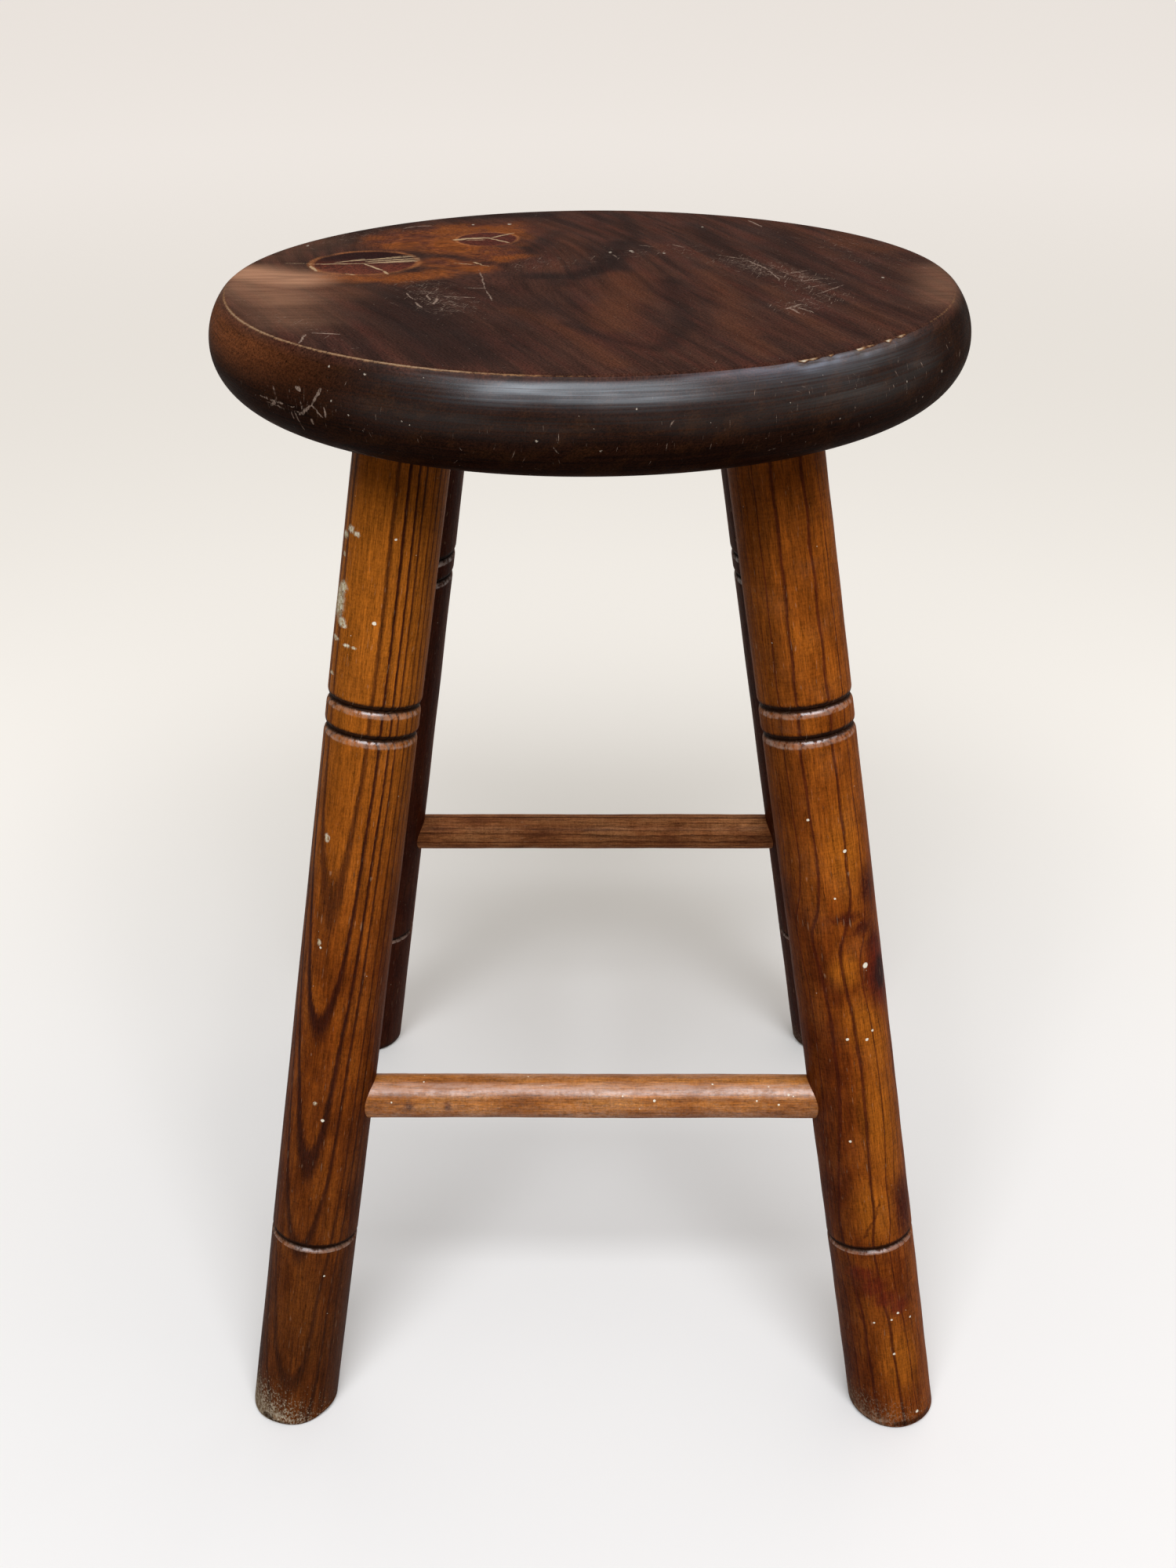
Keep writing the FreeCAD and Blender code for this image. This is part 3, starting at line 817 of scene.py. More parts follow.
# %% Marks of the seat
VARNISH_IOR = 1.75
TOP_MM = seat_top * 1000
BIG_KNOT = (-90, 28, TOP_MM)
SMALL_KNOT = (-44, 74, TOP_MM)
# Cracks of the knots in plan, in millimetres from the seat's centre: start, end, width.
KNOT_CRACKS = (
    ((-122, 28), (-108, 26.5), 0.7), ((-112, 26), (-89, 26.5), 1.8), ((-102.5, 28.5), (-90.5, 35), 1.8),
    ((-96, 31), (-71, 40), 2.4), ((-90, 29.5), (-69, 36.5), 2.6), ((-89.5, 26.5), (-68.5, 33), 2.8),
    ((-86, 27.5), (-69, 30.5), 2.0), ((-84, 36.5), (-72, 42), 1.0), ((-90, 26), (-81, 13.5), 2.0),
    ((-81, 13.5), (-78, 7), 1.8), ((-111, 23), (-107, 13), 2.2), ((-95, 8), (-91, 6), 1.5),
    ((-58, 72), (-53, 74), 4.4), ((-55, 74.5), (-43, 76.5), 4.2), ((-53, 71.5), (-44, 72.5), 1.4),
    ((-43, 76), (-33, 87), 2.2), ((-43, 75.5), (-34, 66), 2.0),
    ((-54, 26.5), (-45, 23.5), 0.9), ((-47, 29), (-43, 24), 1.5), ((-44, 24), (-39, 20), 0.7),
)
SCRATCHES = (
    ((-43.5, 15), (-38.5, -20), 0.9), ((-38.5, -20), (-35, -38), 0.8), ((51, 41), (62, 31.6), 1.0),
    ((62, 31.6), (69.6, 12.7), 1.1), ((69.6, 12.7), (73, -10), 0.9), ((75, 4), (85, 11), 0.9),
    ((78, -8), (92, -3), 0.9), ((80, -20), (94, -10), 0.8), ((84, -30), (96, -14), 0.9),
    ((70, -53), (77, -45), 1.3), ((75, -59), (72, -50), 1.3), ((80, -58), (75, -49), 1.0),
    ((-55.7, -33), (-56, -43), 1.9), ((-63, -40), (-60, -48), 1.4), ((-60, -28), (-58, -36), 1.2),
    ((-55, -30), (-42, -33), 1.0), ((-68, -24), (-64, -36), 0.9), ((-47, -17), (-38, -18), 0.9),
    ((-82, 97), (-77, 102), 1.2), ((-77, 102), (-69, 103), 1.6), ((20, 60), (26, 57), 1.0),
    ((33, 62), (39, 55), 1.0), ((69, 112), (74, 98), 1.5), ((-94, -84), (-84, -86), 1.4),
    ((-96, -86), (-96, -98), 1.2), ((8, 44), (11, 36), 0.9),
)
# Scratches of the side: degrees from the front and millimetres below the top, at the start and the end.
SIDE_SCRATCHES = (
    ((-50.5, 19.2), (-42.2, 19.0), 0.9), ((-49, 20.5), (-41, 20.5), 0.7), ((-42.5, 20.7), (-42, 27.5), 1.0),
    ((-43.2, 21), (-43.2, 24), 0.7), ((-41.7, 21.5), (-38.7, 16.7), 1.2), ((-38.7, 16.7), (-37, 10), 1.1),
    ((-38.7, 16.7), (-36.8, 20), 0.8), ((-37, 10), (-37.4, 12.5), 0.9), ((-42, 11.7), (-40.7, 13), 1.4),
    ((-36.5, 16.2), (-36.2, 19.5), 1.1), ((-39.2, 21.5), (-39.2, 23.5), 1.3), ((-35, 31), (-34, 33), 0.9),
    ((-34, 32.5), (-28, 34.8), 0.9),
)
SPECKS = (
    ((8, 46), 0.9), ((16.5, 48.5), 1.1), ((17, 46), 0.7), ((30, 44), 0.8), ((-36, 106), 1.1),
    ((-52, 105), 0.8), ((112, -2), 0.7), ((-118, 62), 0.8), ((48, 98), 0.7),
)
SIDE_SPECKS = (
    (-35, 13.7, 0.8), (-32.2, 17.2, 0.7), (-24, 16.2, 0.6), (-22.7, 17, 0.5), (-21.5, 2.7, 0.7),
    (-30.2, 4, 1.0), (-36.5, 3.7, 0.8), (-6, 19, 0.9), (2, 22.5, 0.8), (6.5, 9.5, 0.7), (27, 12, 0.6),
    (35, 20, 0.7), (48, 14, 0.8), (53, 22, 0.7), (58, 16, 0.9),
)


def flat_marks(marks, breadth):
    """Strokes of the seat's plan, lifted to its top, their widths times breadth."""
    return [((*start, TOP_MM), (*end, TOP_MM), breadth * wide) for start, end, wide in marks]


def on_side(from_front, below):
    """The point of the seat's side at an angle from its front and a depth below its top, in millimetres."""
    belly = SEAT_BELLY_DEPTH * 1000
    curve = seat_arc * 1000 if below < belly else seat_tuck * 1000
    out = SEAT_RADIUS * 1000 - curve + np.sqrt(curve ** 2 - (below - belly) ** 2)
    turn = np.radians(from_front - 90)
    return (out * np.cos(turn), out * np.sin(turn), TOP_MM - below)


def attribute(tree, name, output="Fac"):
    """A value that the surface carries at each point."""
    return add(tree, "ShaderNodeAttribute", output=output, attribute_name=name)


wood, tree, shader = new_material("dark seat wood")
grain = attribute(tree, "grain", "Vector")
place = seen_from(tree, add(tree, "ShaderNodeTexCoord", output="Object"), size=(0.001,) * 3)
figure = add(tree, "ShaderNodeSeparateXYZ", {0: attribute(tree, "figure", "Vector")}).node.outputs
streaks = use(tree, fibres, {"Grain": grain, "Fibre depth": 0.6, "Grit depth": 2.8, "Ripple depth": 0.0})
flow = noise(tree, grain, (7.0, 7.0, 90.0), 4.0, 0.55)
flow_fine = noise(tree, grain, (1.6, 1.6, 40.0), 3.0, 0.6)

# %% [markdown]
# ### The stain
# The bands get fibrous edges: the streaks are added to them before the mask is cut. The side was stained
# darkest, with warm wood at its left.

# %% Stain of the seat
dark_band = math(tree, "ADD", figure["X"], about_zero(tree, flow, 0.6))
red_band = math(tree, "ADD", figure["Y"], about_zero(tree, flow, 0.5))
colour = blend(tree, rise(tree, flow, 0.30, 0.70), tone(47, 28, 22), tone(73, 44, 33))
colour = stain(tree, colour, noise(tree, grain, (7, 7, 60), 3.0), (0.44, 0.68), 0.5, tone(80, 41, 31))
colour = stain(tree, colour, red_band, (0.10, 1.05), 0.80, tone(88, 49, 31))
colour = stain(tree, colour, dark_band, (0.15, 1.05), 0.80, tone(36, 23, 19))
colour = stain(tree, colour, flow_fine, (0.50, 0.72), 0.14, tone(30, 18, 16))
side_line = noise(tree, place, (60, 60, 0.8), 4.0, 0.65)
side_colour = blend(tree, rise(tree, side_line, 0.40, 0.62), tone(24, 10, 5), tone(42, 20, 10))
side_colour = blend(tree, attribute(tree, "warm"), side_colour, tone(116, 63, 33))
side_colour = stain(tree, side_colour, side_line, (0.50, 0.66), 0.35, tone(20, 11, 8))
side_colour = stain(tree, side_colour, flow, (0.48, 0.66), 0.40, tone(54, 29, 12))
colour = blend(tree, attribute(tree, "side"), colour, side_colour)

# %% [markdown]
# ### Resin and knots
# Resin lies round the knots in blotches, with the wood's lines curling through it. A knot is a dark
# red-brown plug, blackish in its upper half, with a thin bright rim.

# %% Knots of the seat
blotch = noise(tree, place, (15, 15, 15), 3.0, 0.55)
curl = noise(tree, ragged(tree, place, 16.0, 34.0), (3.2, 3.2, 3.2), 2.0, 0.55)
resin = math(tree, "ADD", figure["Z"], about_zero(tree, blotch, 0.6))
resin_colour = blend(tree, rise(tree, blotch, 0.38, 0.60), tone(92, 46, 29), tone(126, 65, 26))
resin_colour = stain(tree, resin_colour, curl, (0.50, 0.68), 0.35, tone(76, 38, 27))
resin_colour = stain(tree, resin_colour, curl, (0.44, 0.34), 0.40, tone(146, 82, 38))
colour = stain(tree, colour, resin, (0.22, 0.85), 0.92, resin_colour)
soft = ragged(tree, place, 9.0, 3.0)
knots = [use(tree, spot, {"Place": soft, "Centre": BIG_KNOT, "Radii": (21.5, 22, 60), "Edge": 0.05}),
         use(tree, spot, {"Place": soft, "Centre": SMALL_KNOT, "Radii": (13, 14.5, 60), "Edge": 0.07})]
upper = rise(tree, add(tree, "ShaderNodeSeparateXYZ", {0: soft}, "Y"), 18, 38)
plug_shade = rise(tree, curl, 0.44, 0.62, 0.0, 0.6)
plug_colour = blend(tree, upper, tone(98, 46, 32), tone(42, 19, 16))
plug_colour = blend(tree, plug_shade, plug_colour, tone(40, 18, 15))
colour = blend(tree, knots[0]["Mask"], colour, plug_colour)
plug_colour = blend(tree, plug_shade, tone(88, 41, 30), tone(46, 21, 16))
colour = blend(tree, knots[1]["Mask"], colour, plug_colour)
rims = [times(tree, rise(tree, found["Spread"], 0.90, 0.99),
              rise(tree, found["Spread"], 1.0, 1.10, 1.0, 0.0)) for found in knots]
rim = times(tree, strongest(tree, rims), rise(tree, blotch, 0.38, 0.60, 0.25, 1.0))
colour = blend(tree, times(tree, rim, 0.70), colour, tone(156, 94, 54))
pin = spots(tree, soft, [((-42, 26, TOP_MM), (6, 7, 60))], 0.9)
colour = blend(tree, times(tree, pin, 0.6), colour, tone(52, 28, 23))
colour = blend(tree, 1.0, colour, streaks["Shade"], "MULTIPLY")

# %% [markdown]
# ### What is pale
# Cracks, scratches, specks and the worn arris are pale. Each is a mask, and all of them together also
# make the surface rougher and take its gloss away.

# %% Pale marks of the seat
torn = ragged(tree, place, 3.5, 2.2)
broken = noise(tree, place, (1.0, 1.0, 1.0), 2.0, 0.6)
marks = strokes(tree, torn, flat_marks(KNOT_CRACKS, 0.72))
crack = times(tree, marks, rise(tree, broken, 0.26, 0.50, 0.35, 1.0))
side_strokes = [(on_side(*start), on_side(*end), wide) for start, end, wide in SIDE_SCRATCHES]
marks = strokes(tree, torn, flat_marks(SCRATCHES, 0.8) + side_strokes)
scratch = times(tree, marks, rise(tree, broken, 0.32, 0.54, 0.2, 1.0))
scuffed = attribute(tree, "scuff")
hair = use(tree, hairlines, {"Place": place, "Density": scuffed})["Mask"]
hair = times(tree, hair, rise(tree, broken, 0.36, 0.60))
scratch = math(tree, "MAXIMUM", scratch, hair)
speck_marks = [((*centre, TOP_MM), (size, size * 1.5, 6)) for centre, size in SPECKS]
speck_marks += [(on_side(degrees, below), (size * 0.6,) * 3) for degrees, below, size in SIDE_SPECKS]
speck = spots(tree, torn, speck_marks, 0.5)
share = math(tree, "MULTIPLY_ADD", scuffed, 0.58, 0.22)
dust = use(tree, dust_specks, {"Place": place, "Spacing": 2.3, "Share": share})["Mask"]
# Painted sheen: a pale brown haze near the rims of the top stands in for the varnish's reflection.
painted_sheen = rise(tree, noise(tree, place, (26, 2.2, 6), 3.0, 0.6), 0.30, 0.68, 0.60, 1.0)
painted_sheen = times(tree, painted_sheen, rise(tree, attribute(tree, "painted_sheen"), 0.0, 1.05, 0.0, 0.98))
colour = blend(tree, painted_sheen, colour, tone(182, 130, 98))
colour = blend(tree, times(tree, crack, 0.90), colour, tone(184, 152, 116))
colour = blend(tree, times(tree, scratch, 0.56), colour, tone(178, 150, 130))
colour = blend(tree, times(tree, strongest(tree, [speck, dust]), 0.75), colour, tone(190, 172, 152))
wear = attribute(tree, "wear")
frayed = math(tree, "ADD", wear, about_zero(tree, noise(tree, place, (1.6, 1.6, 1.0), 4.0, 0.7), 0.8))
worn = rise(tree, frayed, 0.36, 0.66)
colour = blend(tree, times(tree, worn, 0.80), colour,
               blend(tree, rise(tree, wear, 0.52, 0.80), tone(152, 110, 74), tone(208, 192, 166)))
tree.links.new(colour, shader.inputs["Base Color"])

# %% [markdown]
# ### The varnish
# Gloss fades at a grazing look, as on varnish that is dull with fine wear. The relief is that of the
# fibres alone.

# %% Varnish of the seat
pale = strongest(tree, [crack, scratch, speck, dust, worn])
rough = rise(tree, streaks["Patch"], 0.3, 0.7, 0.40, 0.52)
tree.links.new(math(tree, "MULTIPLY_ADD", pale, 0.3, rough), shader.inputs["Roughness"])
shader.inputs["Specular IOR Level"].default_value = 0.002
facing = add(tree, "ShaderNodeLayerWeight", {"Blend": 0.5}, "Facing")
gloss = math(tree, "MULTIPLY_ADD", attribute(tree, "polish"), 0.84, 0.01)
gloss = times(tree, gloss, rise(tree, side_line, 0.36, 0.64, 1.0, 0.50))
gloss = times(tree, gloss, rise(tree, noise(tree, place, (40, 46, 9), 2.0), 0.34, 0.58, 0.60, 1.15))
gloss = times(tree, gloss, rise(tree, pale, 0.0, 1.0, 1.0, 0.2))
tree.links.new(times(tree, gloss, rise(tree, facing, 0.55, 0.98, 1.0, 0.25)), shader.inputs["Coat Weight"])
shader.inputs["Coat Roughness"].default_value = 0.30
shader.inputs["Coat IOR"].default_value = VARNISH_IOR
relief = math(tree, "MULTIPLY_ADD", streaks["Fibre"], 0.8, flow_fine)
tree.links.new(add(tree, "ShaderNodeBump", {"Height": relief, "Strength": 0.35, "Distance": 0.0004}),
               shader.inputs["Normal"])
seat.data.materials.append(wood)
print("seat finish", len(tree.nodes), "nodes")

# %% [markdown]
# ## The legs
# All four legs are turned to one pattern: a plain shaft with a bead between two grooves, and one ring
# scored near the foot. The shaft leans out, but its foot stands flat and its top meets the seat's flat
# underside, so each straight line down the leg has its own length. The grid handles that by sliding the
# first and the last rings along the leg until they lie level.

# %% Leg surface
LEG_RADIUS = LEG_RADIUS_MM / 1000
LEG_TOP_OFFSET = 0.0658
LEG_FOOT_OFFSET = 0.1323
BEAD_FROM_SEAT = 0.1115
BEAD_HEIGHT = 0.0115
BEAD_CORNER = 0.0031
GROOVE_DEPTH = 0.0017
GROOVE_SHOULDER = 0.0034
SCORE_FROM_FLOOR = 0.0900
SCORE_WIDTH = 0.0035
SCORE_DEPTH = 0.0012
FOOT_ROUND = 0.0022
LEG_STEPS = 120
LEVEL_REACH = 0.04


def turned_depth(down, length):
    """How deep the turner cut at each distance down the leg.

    A shoulder or a bead's corner is an arc that is level with the shaft at one end and falls by the
    groove's depth at the other: depth * (1 - sqrt(1 - t^2)) with t from 0 at the level end to 1. The
    scored ring is a plain V.
    """
    cut = np.zeros_like(down)
    for side in (-1, 1):
        outward = side * (down - BEAD_FROM_SEAT) - BEAD_HEIGHT / 2
        shoulder = np.clip(1 - outward / GROOVE_SHOULDER, 0, 1) * (outward >= 0)
        corner = np.clip(1 + outward / BEAD_CORNER, 0, 1) * (outward < 0)
        slope = np.maximum(shoulder, corner)
        cut = np.maximum(cut, GROOVE_DEPTH * (1 - np.sqrt(1 - 0.92 * slope ** 2)) / (1 - np.sqrt(0.08)))
    score = 1 - np.abs(down - (length - SCORE_FROM_FLOOR)) / (SCORE_WIDTH / 2)
    return np.maximum(cut, SCORE_DEPTH * np.clip(score, 0, 1))


def leg_stations(length):
    """Distances down the leg for the grid's rings: close together at the bead and at the scored ring."""
    bead = np.arange(BEAD_FROM_SEAT - 0.0105, BEAD_FROM_SEAT + 0.0106, 0.0003)
    score = np.arange(length - SCORE_FROM_FLOOR - 0.003, length - SCORE_FROM_FLOOR + 0.003, 0.0003)
    gaps = ((0, bead[0]), (bead[-1] + 0.001, score[0]), (score[-1] + 0.001, length))
    plain = [np.arange(start, end - 0.001, 0.003) for start, end in gaps]
    return np.sort(np.concatenate((bead, score, *plain, [length])))[:, None]


def make_leg(name, side_x, side_y, seed, board):
    """One leg as a sewn grid. Its rings run from the middle of the top to the middle of the sole."""
    top = np.array((side_x * LEG_TOP_OFFSET, side_y * LEG_TOP_OFFSET, seat_bottom))
    foot = np.array((side_x * LEG_FOOT_OFFSET, side_y * LEG_FOOT_OFFSET, 0.0))
    length = np.linalg.norm(foot - top)
    down_way = (foot - top) / length
    front = np.array((0.0, -1.0, 0.0))
    front = front - down_way * (front @ down_way)
    front = front / np.linalg.norm(front)
    right = np.cross(front, down_way)
    right = right * np.sign(right[0])
    angle = np.linspace(0, 2 * np.pi, LEG_STEPS, endpoint=False)[None, :]
    outward = np.cos(angle)[..., None] * front + np.sin(angle)[..., None] * right
    climb = outward[..., 2] / -down_way[2]

    down = leg_stations(length)
    radius = LEG_RADIUS - turned_depth(down, length) + 0.00008 * bumps(angle, down, seed)
    # A ring slides along the leg so that the first and the last one are level; the slide fades away.
    level_foot = seat_bottom / -down_way[2] + LEG_RADIUS * climb - length
    slide = (LEG_RADIUS * climb * np.clip(1 - down / LEVEL_REACH, 0, 1)
             + level_foot * np.clip(1 - (length - down) / LEVEL_REACH, 0, 1))
    shaft_down = down + slide
    # The sole's edge is rounded by wear, and the rings then close in across the level foot.
    soft = FOOT_ROUND * (1 + 0.35 * bumps(angle, 0.0, seed + 1, 4))
    shaft_down[-1] = shaft_down[-1] - soft[0]
    turn = np.linspace(0, np.pi / 2, 9)[1:, None]
    edge_radius = LEG_RADIUS - soft + soft * np.cos(turn)
    sole_radius = np.concatenate((edge_radius, edge_radius[-1] * np.linspace(0.9, 0.1, 8)[:, None]))
    sole_rise = np.concatenate((soft * (1 - np.sin(turn)), np.zeros((8, LEG_STEPS))))
    sole_down = seat_bottom / -down_way[2] + sole_radius * climb - sole_rise
    cap_radius = LEG_RADIUS * np.linspace(0.1, 0.96, 8)[:, None] * np.ones_like(angle)
    radius = np.concatenate((cap_radius, radius, sole_radius))
    shaft_down = np.concatenate((cap_radius * climb, shaft_down, sole_down))
    points = top + shaft_down[..., None] * down_way + radius[..., None] * outward
    points[..., 2] = np.clip(points[..., 2], 0, seat_bottom)

    place = points - top
    grain = np.stack((place @ front, place @ right, place @ down_way), -1) * 1000
    groove = np.clip((LEG_RADIUS - radius) / GROOVE_DEPTH, 0, 1)
    groove = groove * (shaft_down > 0.01) * (shaft_down < length - 0.02)
    worn = np.clip(1 - (length - shaft_down) / 0.034, 0, 1) * (0.80 - 0.30 * np.sin(angle))
    # Where a cut faces up, the varnish is rubbed and waxy, and it catches the light: more gloss, and a pale
    # tint that is partly wax and partly a painted highlight.
    falling = np.gradient(radius, axis=0) / np.maximum(np.gradient(shaft_down, axis=0), 1e-5)
    turned = (shaft_down > 0.05) * (shaft_down < length - 0.05)
    lit = np.clip(falling / 0.16, 0, 1) * np.clip(1.6 - 2.4 * groove, 0, 1) * turned
    # Dirt fills the grooves. What faces down and overhangs them is darker still, and the dark creeps up a
    # little above them where no highlight is: that part is painted shade.
    groove = np.where(falling < 0, 2.4 * groove, 1.5 * groove)
    crept = np.interp(shaft_down + 0.0013, shaft_down[:, 0], groove[:, 0])
    groove = np.maximum(groove, 0.6 * crept * (lit < 0.1))
    attributes = {"grain": grain, "rings": pith_distance(grain, **board), "dirt_and_shade": groove, "wear": worn,
                  "lit": lit}
    return sew(f"turned_{name}", points, attributes, name)


# %% [markdown]
# ### Four boards for four legs
# Each leg is cut from another place in the tree. The front left one lies beside the pith so that tall
# arches show on its left and straight lines on its right; towards the foot the grain leans, and arch
# follows arch. On the front right one three thin lines swing round a knot at its outer side.

# %% Leg boards
LEG_BOARDS = {
    "leg_front_left": dict(
        far=45,
        turn=((0, -28), (100, -26.5), (160, -25.3), (220, -22), (280, -17.3), (340, -15), (400, -9.7),
              (434, -2)),
        sink=((0, 0), (100, -0.1), (130, -0.3), (160, -1.0), (190, -1.77), (220, -2.78), (250, -4.04),
              (280, -5.03), (310, -5.94), (340, -7.35), (370, -9.08), (400, -10.12), (434, -12.3))),
    "leg_front_right": dict(
        far=50, slant=14.3,
        turn=((0, 9), (80, 7), (130, 5), (165, 5.5), (175, 5.7), (185, 2.1), (195, -4.5), (204, -13),
              (215, -12.7), (230, -7.3), (245, -4.4), (265, -4.5), (285, -7.1), (305, -13.3), (325, -15.8),
              (340, -22), (360, -18), (380, -10), (405, -7), (434, -4)),
        sink=((0, 0), (160, 0.15), (220, -0.12), (290, 0), (340, 0.4), (370, 0.1), (434, 0))),
    "leg_back_left": dict(
        far=34, turn=((0, 40), (200, 48), (434, 56)), sink=((0, 0), (150, -0.6), (300, -3.4), (434, -7))),
    "leg_back_right": dict(
        far=40, turn=((0, -70), (434, -50)), sink=((0, 0), (160, -1.5), (434, -9))),
}
LEG_SIDES = {"leg_front_left": (-1, -1), "leg_front_right": (1, -1), "leg_back_left": (-1, 1),
             "leg_back_right": (1, 1)}
legs = {name: make_leg(name, *sides, seed, LEG_BOARDS[name])
        for seed, (name, sides) in zip((21, 22, 23, 24), LEG_SIDES.items())}

# %% [markdown]
# ### The finish of the legs and stretchers
# Pine under an amber stain: the early wood is orange-brown, the late wood nearly black, and between them
# lie fine streaks, pores and blotches. The varnish is a coat over it all. The grooves are dirty, and
# painted shade darkens the slopes that face down; the slopes that face up are rubbed and painted pale as
# a highlight. The front left foot has been worn back to bare wood.

# %% Pine material


def on_leg(degrees, down):
    """The point of a leg's surface at an angle from its front and a distance down it, in millimetres."""
    turn = np.radians(degrees)
    return (LEG_RADIUS_MM * np.cos(turn), LEG_RADIUS_MM * np.sin(turn), down)


def growth_rings(tree, grain, years, year_width, ring_width, ring_depth, wander):
    """Where the late wood of the regular and of the named years shows, from 0 to 1.

    Slow noise bends the rings by up to half of wander, and quick noise makes their edges fibrous.
    """
    distance = attribute(tree, "rings")
    slow = about_zero(tree, noise(tree, grain, (12, 12, 70)), wander)
    distance = math(tree, "ADD", distance, slow)
    quick = about_zero(tree, noise(tree, grain, (0.6, 0.6, 3.5), 2.0), 0.5 * year_width)
    distance = math(tree, "ADD", distance, quick)
    outermost = years[-1][0] - 1.2 if years else 200.0
    regular = use(tree, regular_years, {"Distance": distance, "Ring width": ring_width,
                                        "Outermost": outermost})
    ring = times(tree, regular["Late wood"], ring_depth)
    if years:
        ring = math(tree, "MAXIMUM", ring, named_years(tree, distance, years, year_width))
    return ring


def sunk_marks(tree, colour, soft, streaks, late, smudges, red_marks, dark_marks, knots):
    """The colour with the marks that lie in the wood: smudges, reddish and dark marks, and knots."""
    if smudges:
        smudge = spots(tree, soft, smudges, 0.9)
        smudge = times(tree, smudge, rise(tree, streaks["Mottle"], 0.30, 0.56, 0.60, 1.0))
        colour = blend(tree, smudge, colour, late)
    if red_marks:
        red = spots(tree, soft, red_marks, 0.7)
        red = times(tree, red, rise(tree, streaks["Streak"], 0.3, 0.6, 0.65, 0.95))
        colour = blend(tree, red, colour, tone(98, 32, 13))
    if dark_marks:
        colour = blend(tree, times(tree, strokes(tree, soft, dark_marks), 0.6), colour, late)
    for centre, radii in knots:
        found = use(tree, spot, {"Place": soft, "Centre": centre, "Radii": radii, "Edge": 0.55})
        colour = blend(tree, rise(tree, found["Spread"], 0.8, 2.2, 0.90, 0.0), colour, tone(88, 26, 12))
        colour = blend(tree, found["Mask"], colour, tone(46, 13, 9))
    return colour


def pale_marks(tree, colour, grain, torn, streaks, paint, residue):
    """The colour with what lies on the varnish: dust, paint, hairlines and residue, and a mask of them."""
    pale = use(tree, dust_specks, {"Place": grain, "Spacing": 3.6, "Share": 0.14})["Mask"]
    pale = times(tree, pale, 0.7)
    if paint:
        pale = math(tree, "MAXIMUM", pale, spots(tree, ragged(tree, grain, 1.0, 0.5), paint, 0.35))
    colour = blend(tree, times(tree, pale, 0.95), colour, tone(250, 236, 210))
    hair = times(tree, use(tree, hairlines, {"Place": grain, "Density": 0.3})["Mask"], 0.20)
    colour = blend(tree, hair, colour, tone(214, 176, 140))
    if residue:
        crust = rise(tree, noise(tree, grain, (1.1, 1.1, 1.3), 3.0, 0.7), 0.36, 0.46)
        crust = times(tree, spots(tree, torn, residue, 0.7), crust)
        pale = math(tree, "MAXIMUM", pale, crust)
        colour = blend(tree, crust, colour, blend(tree, rise(tree, streaks["Mottle"], 0.4, 0.6),
                                                  tone(238, 224, 194), tone(190, 166, 126)))
    return colour, pale


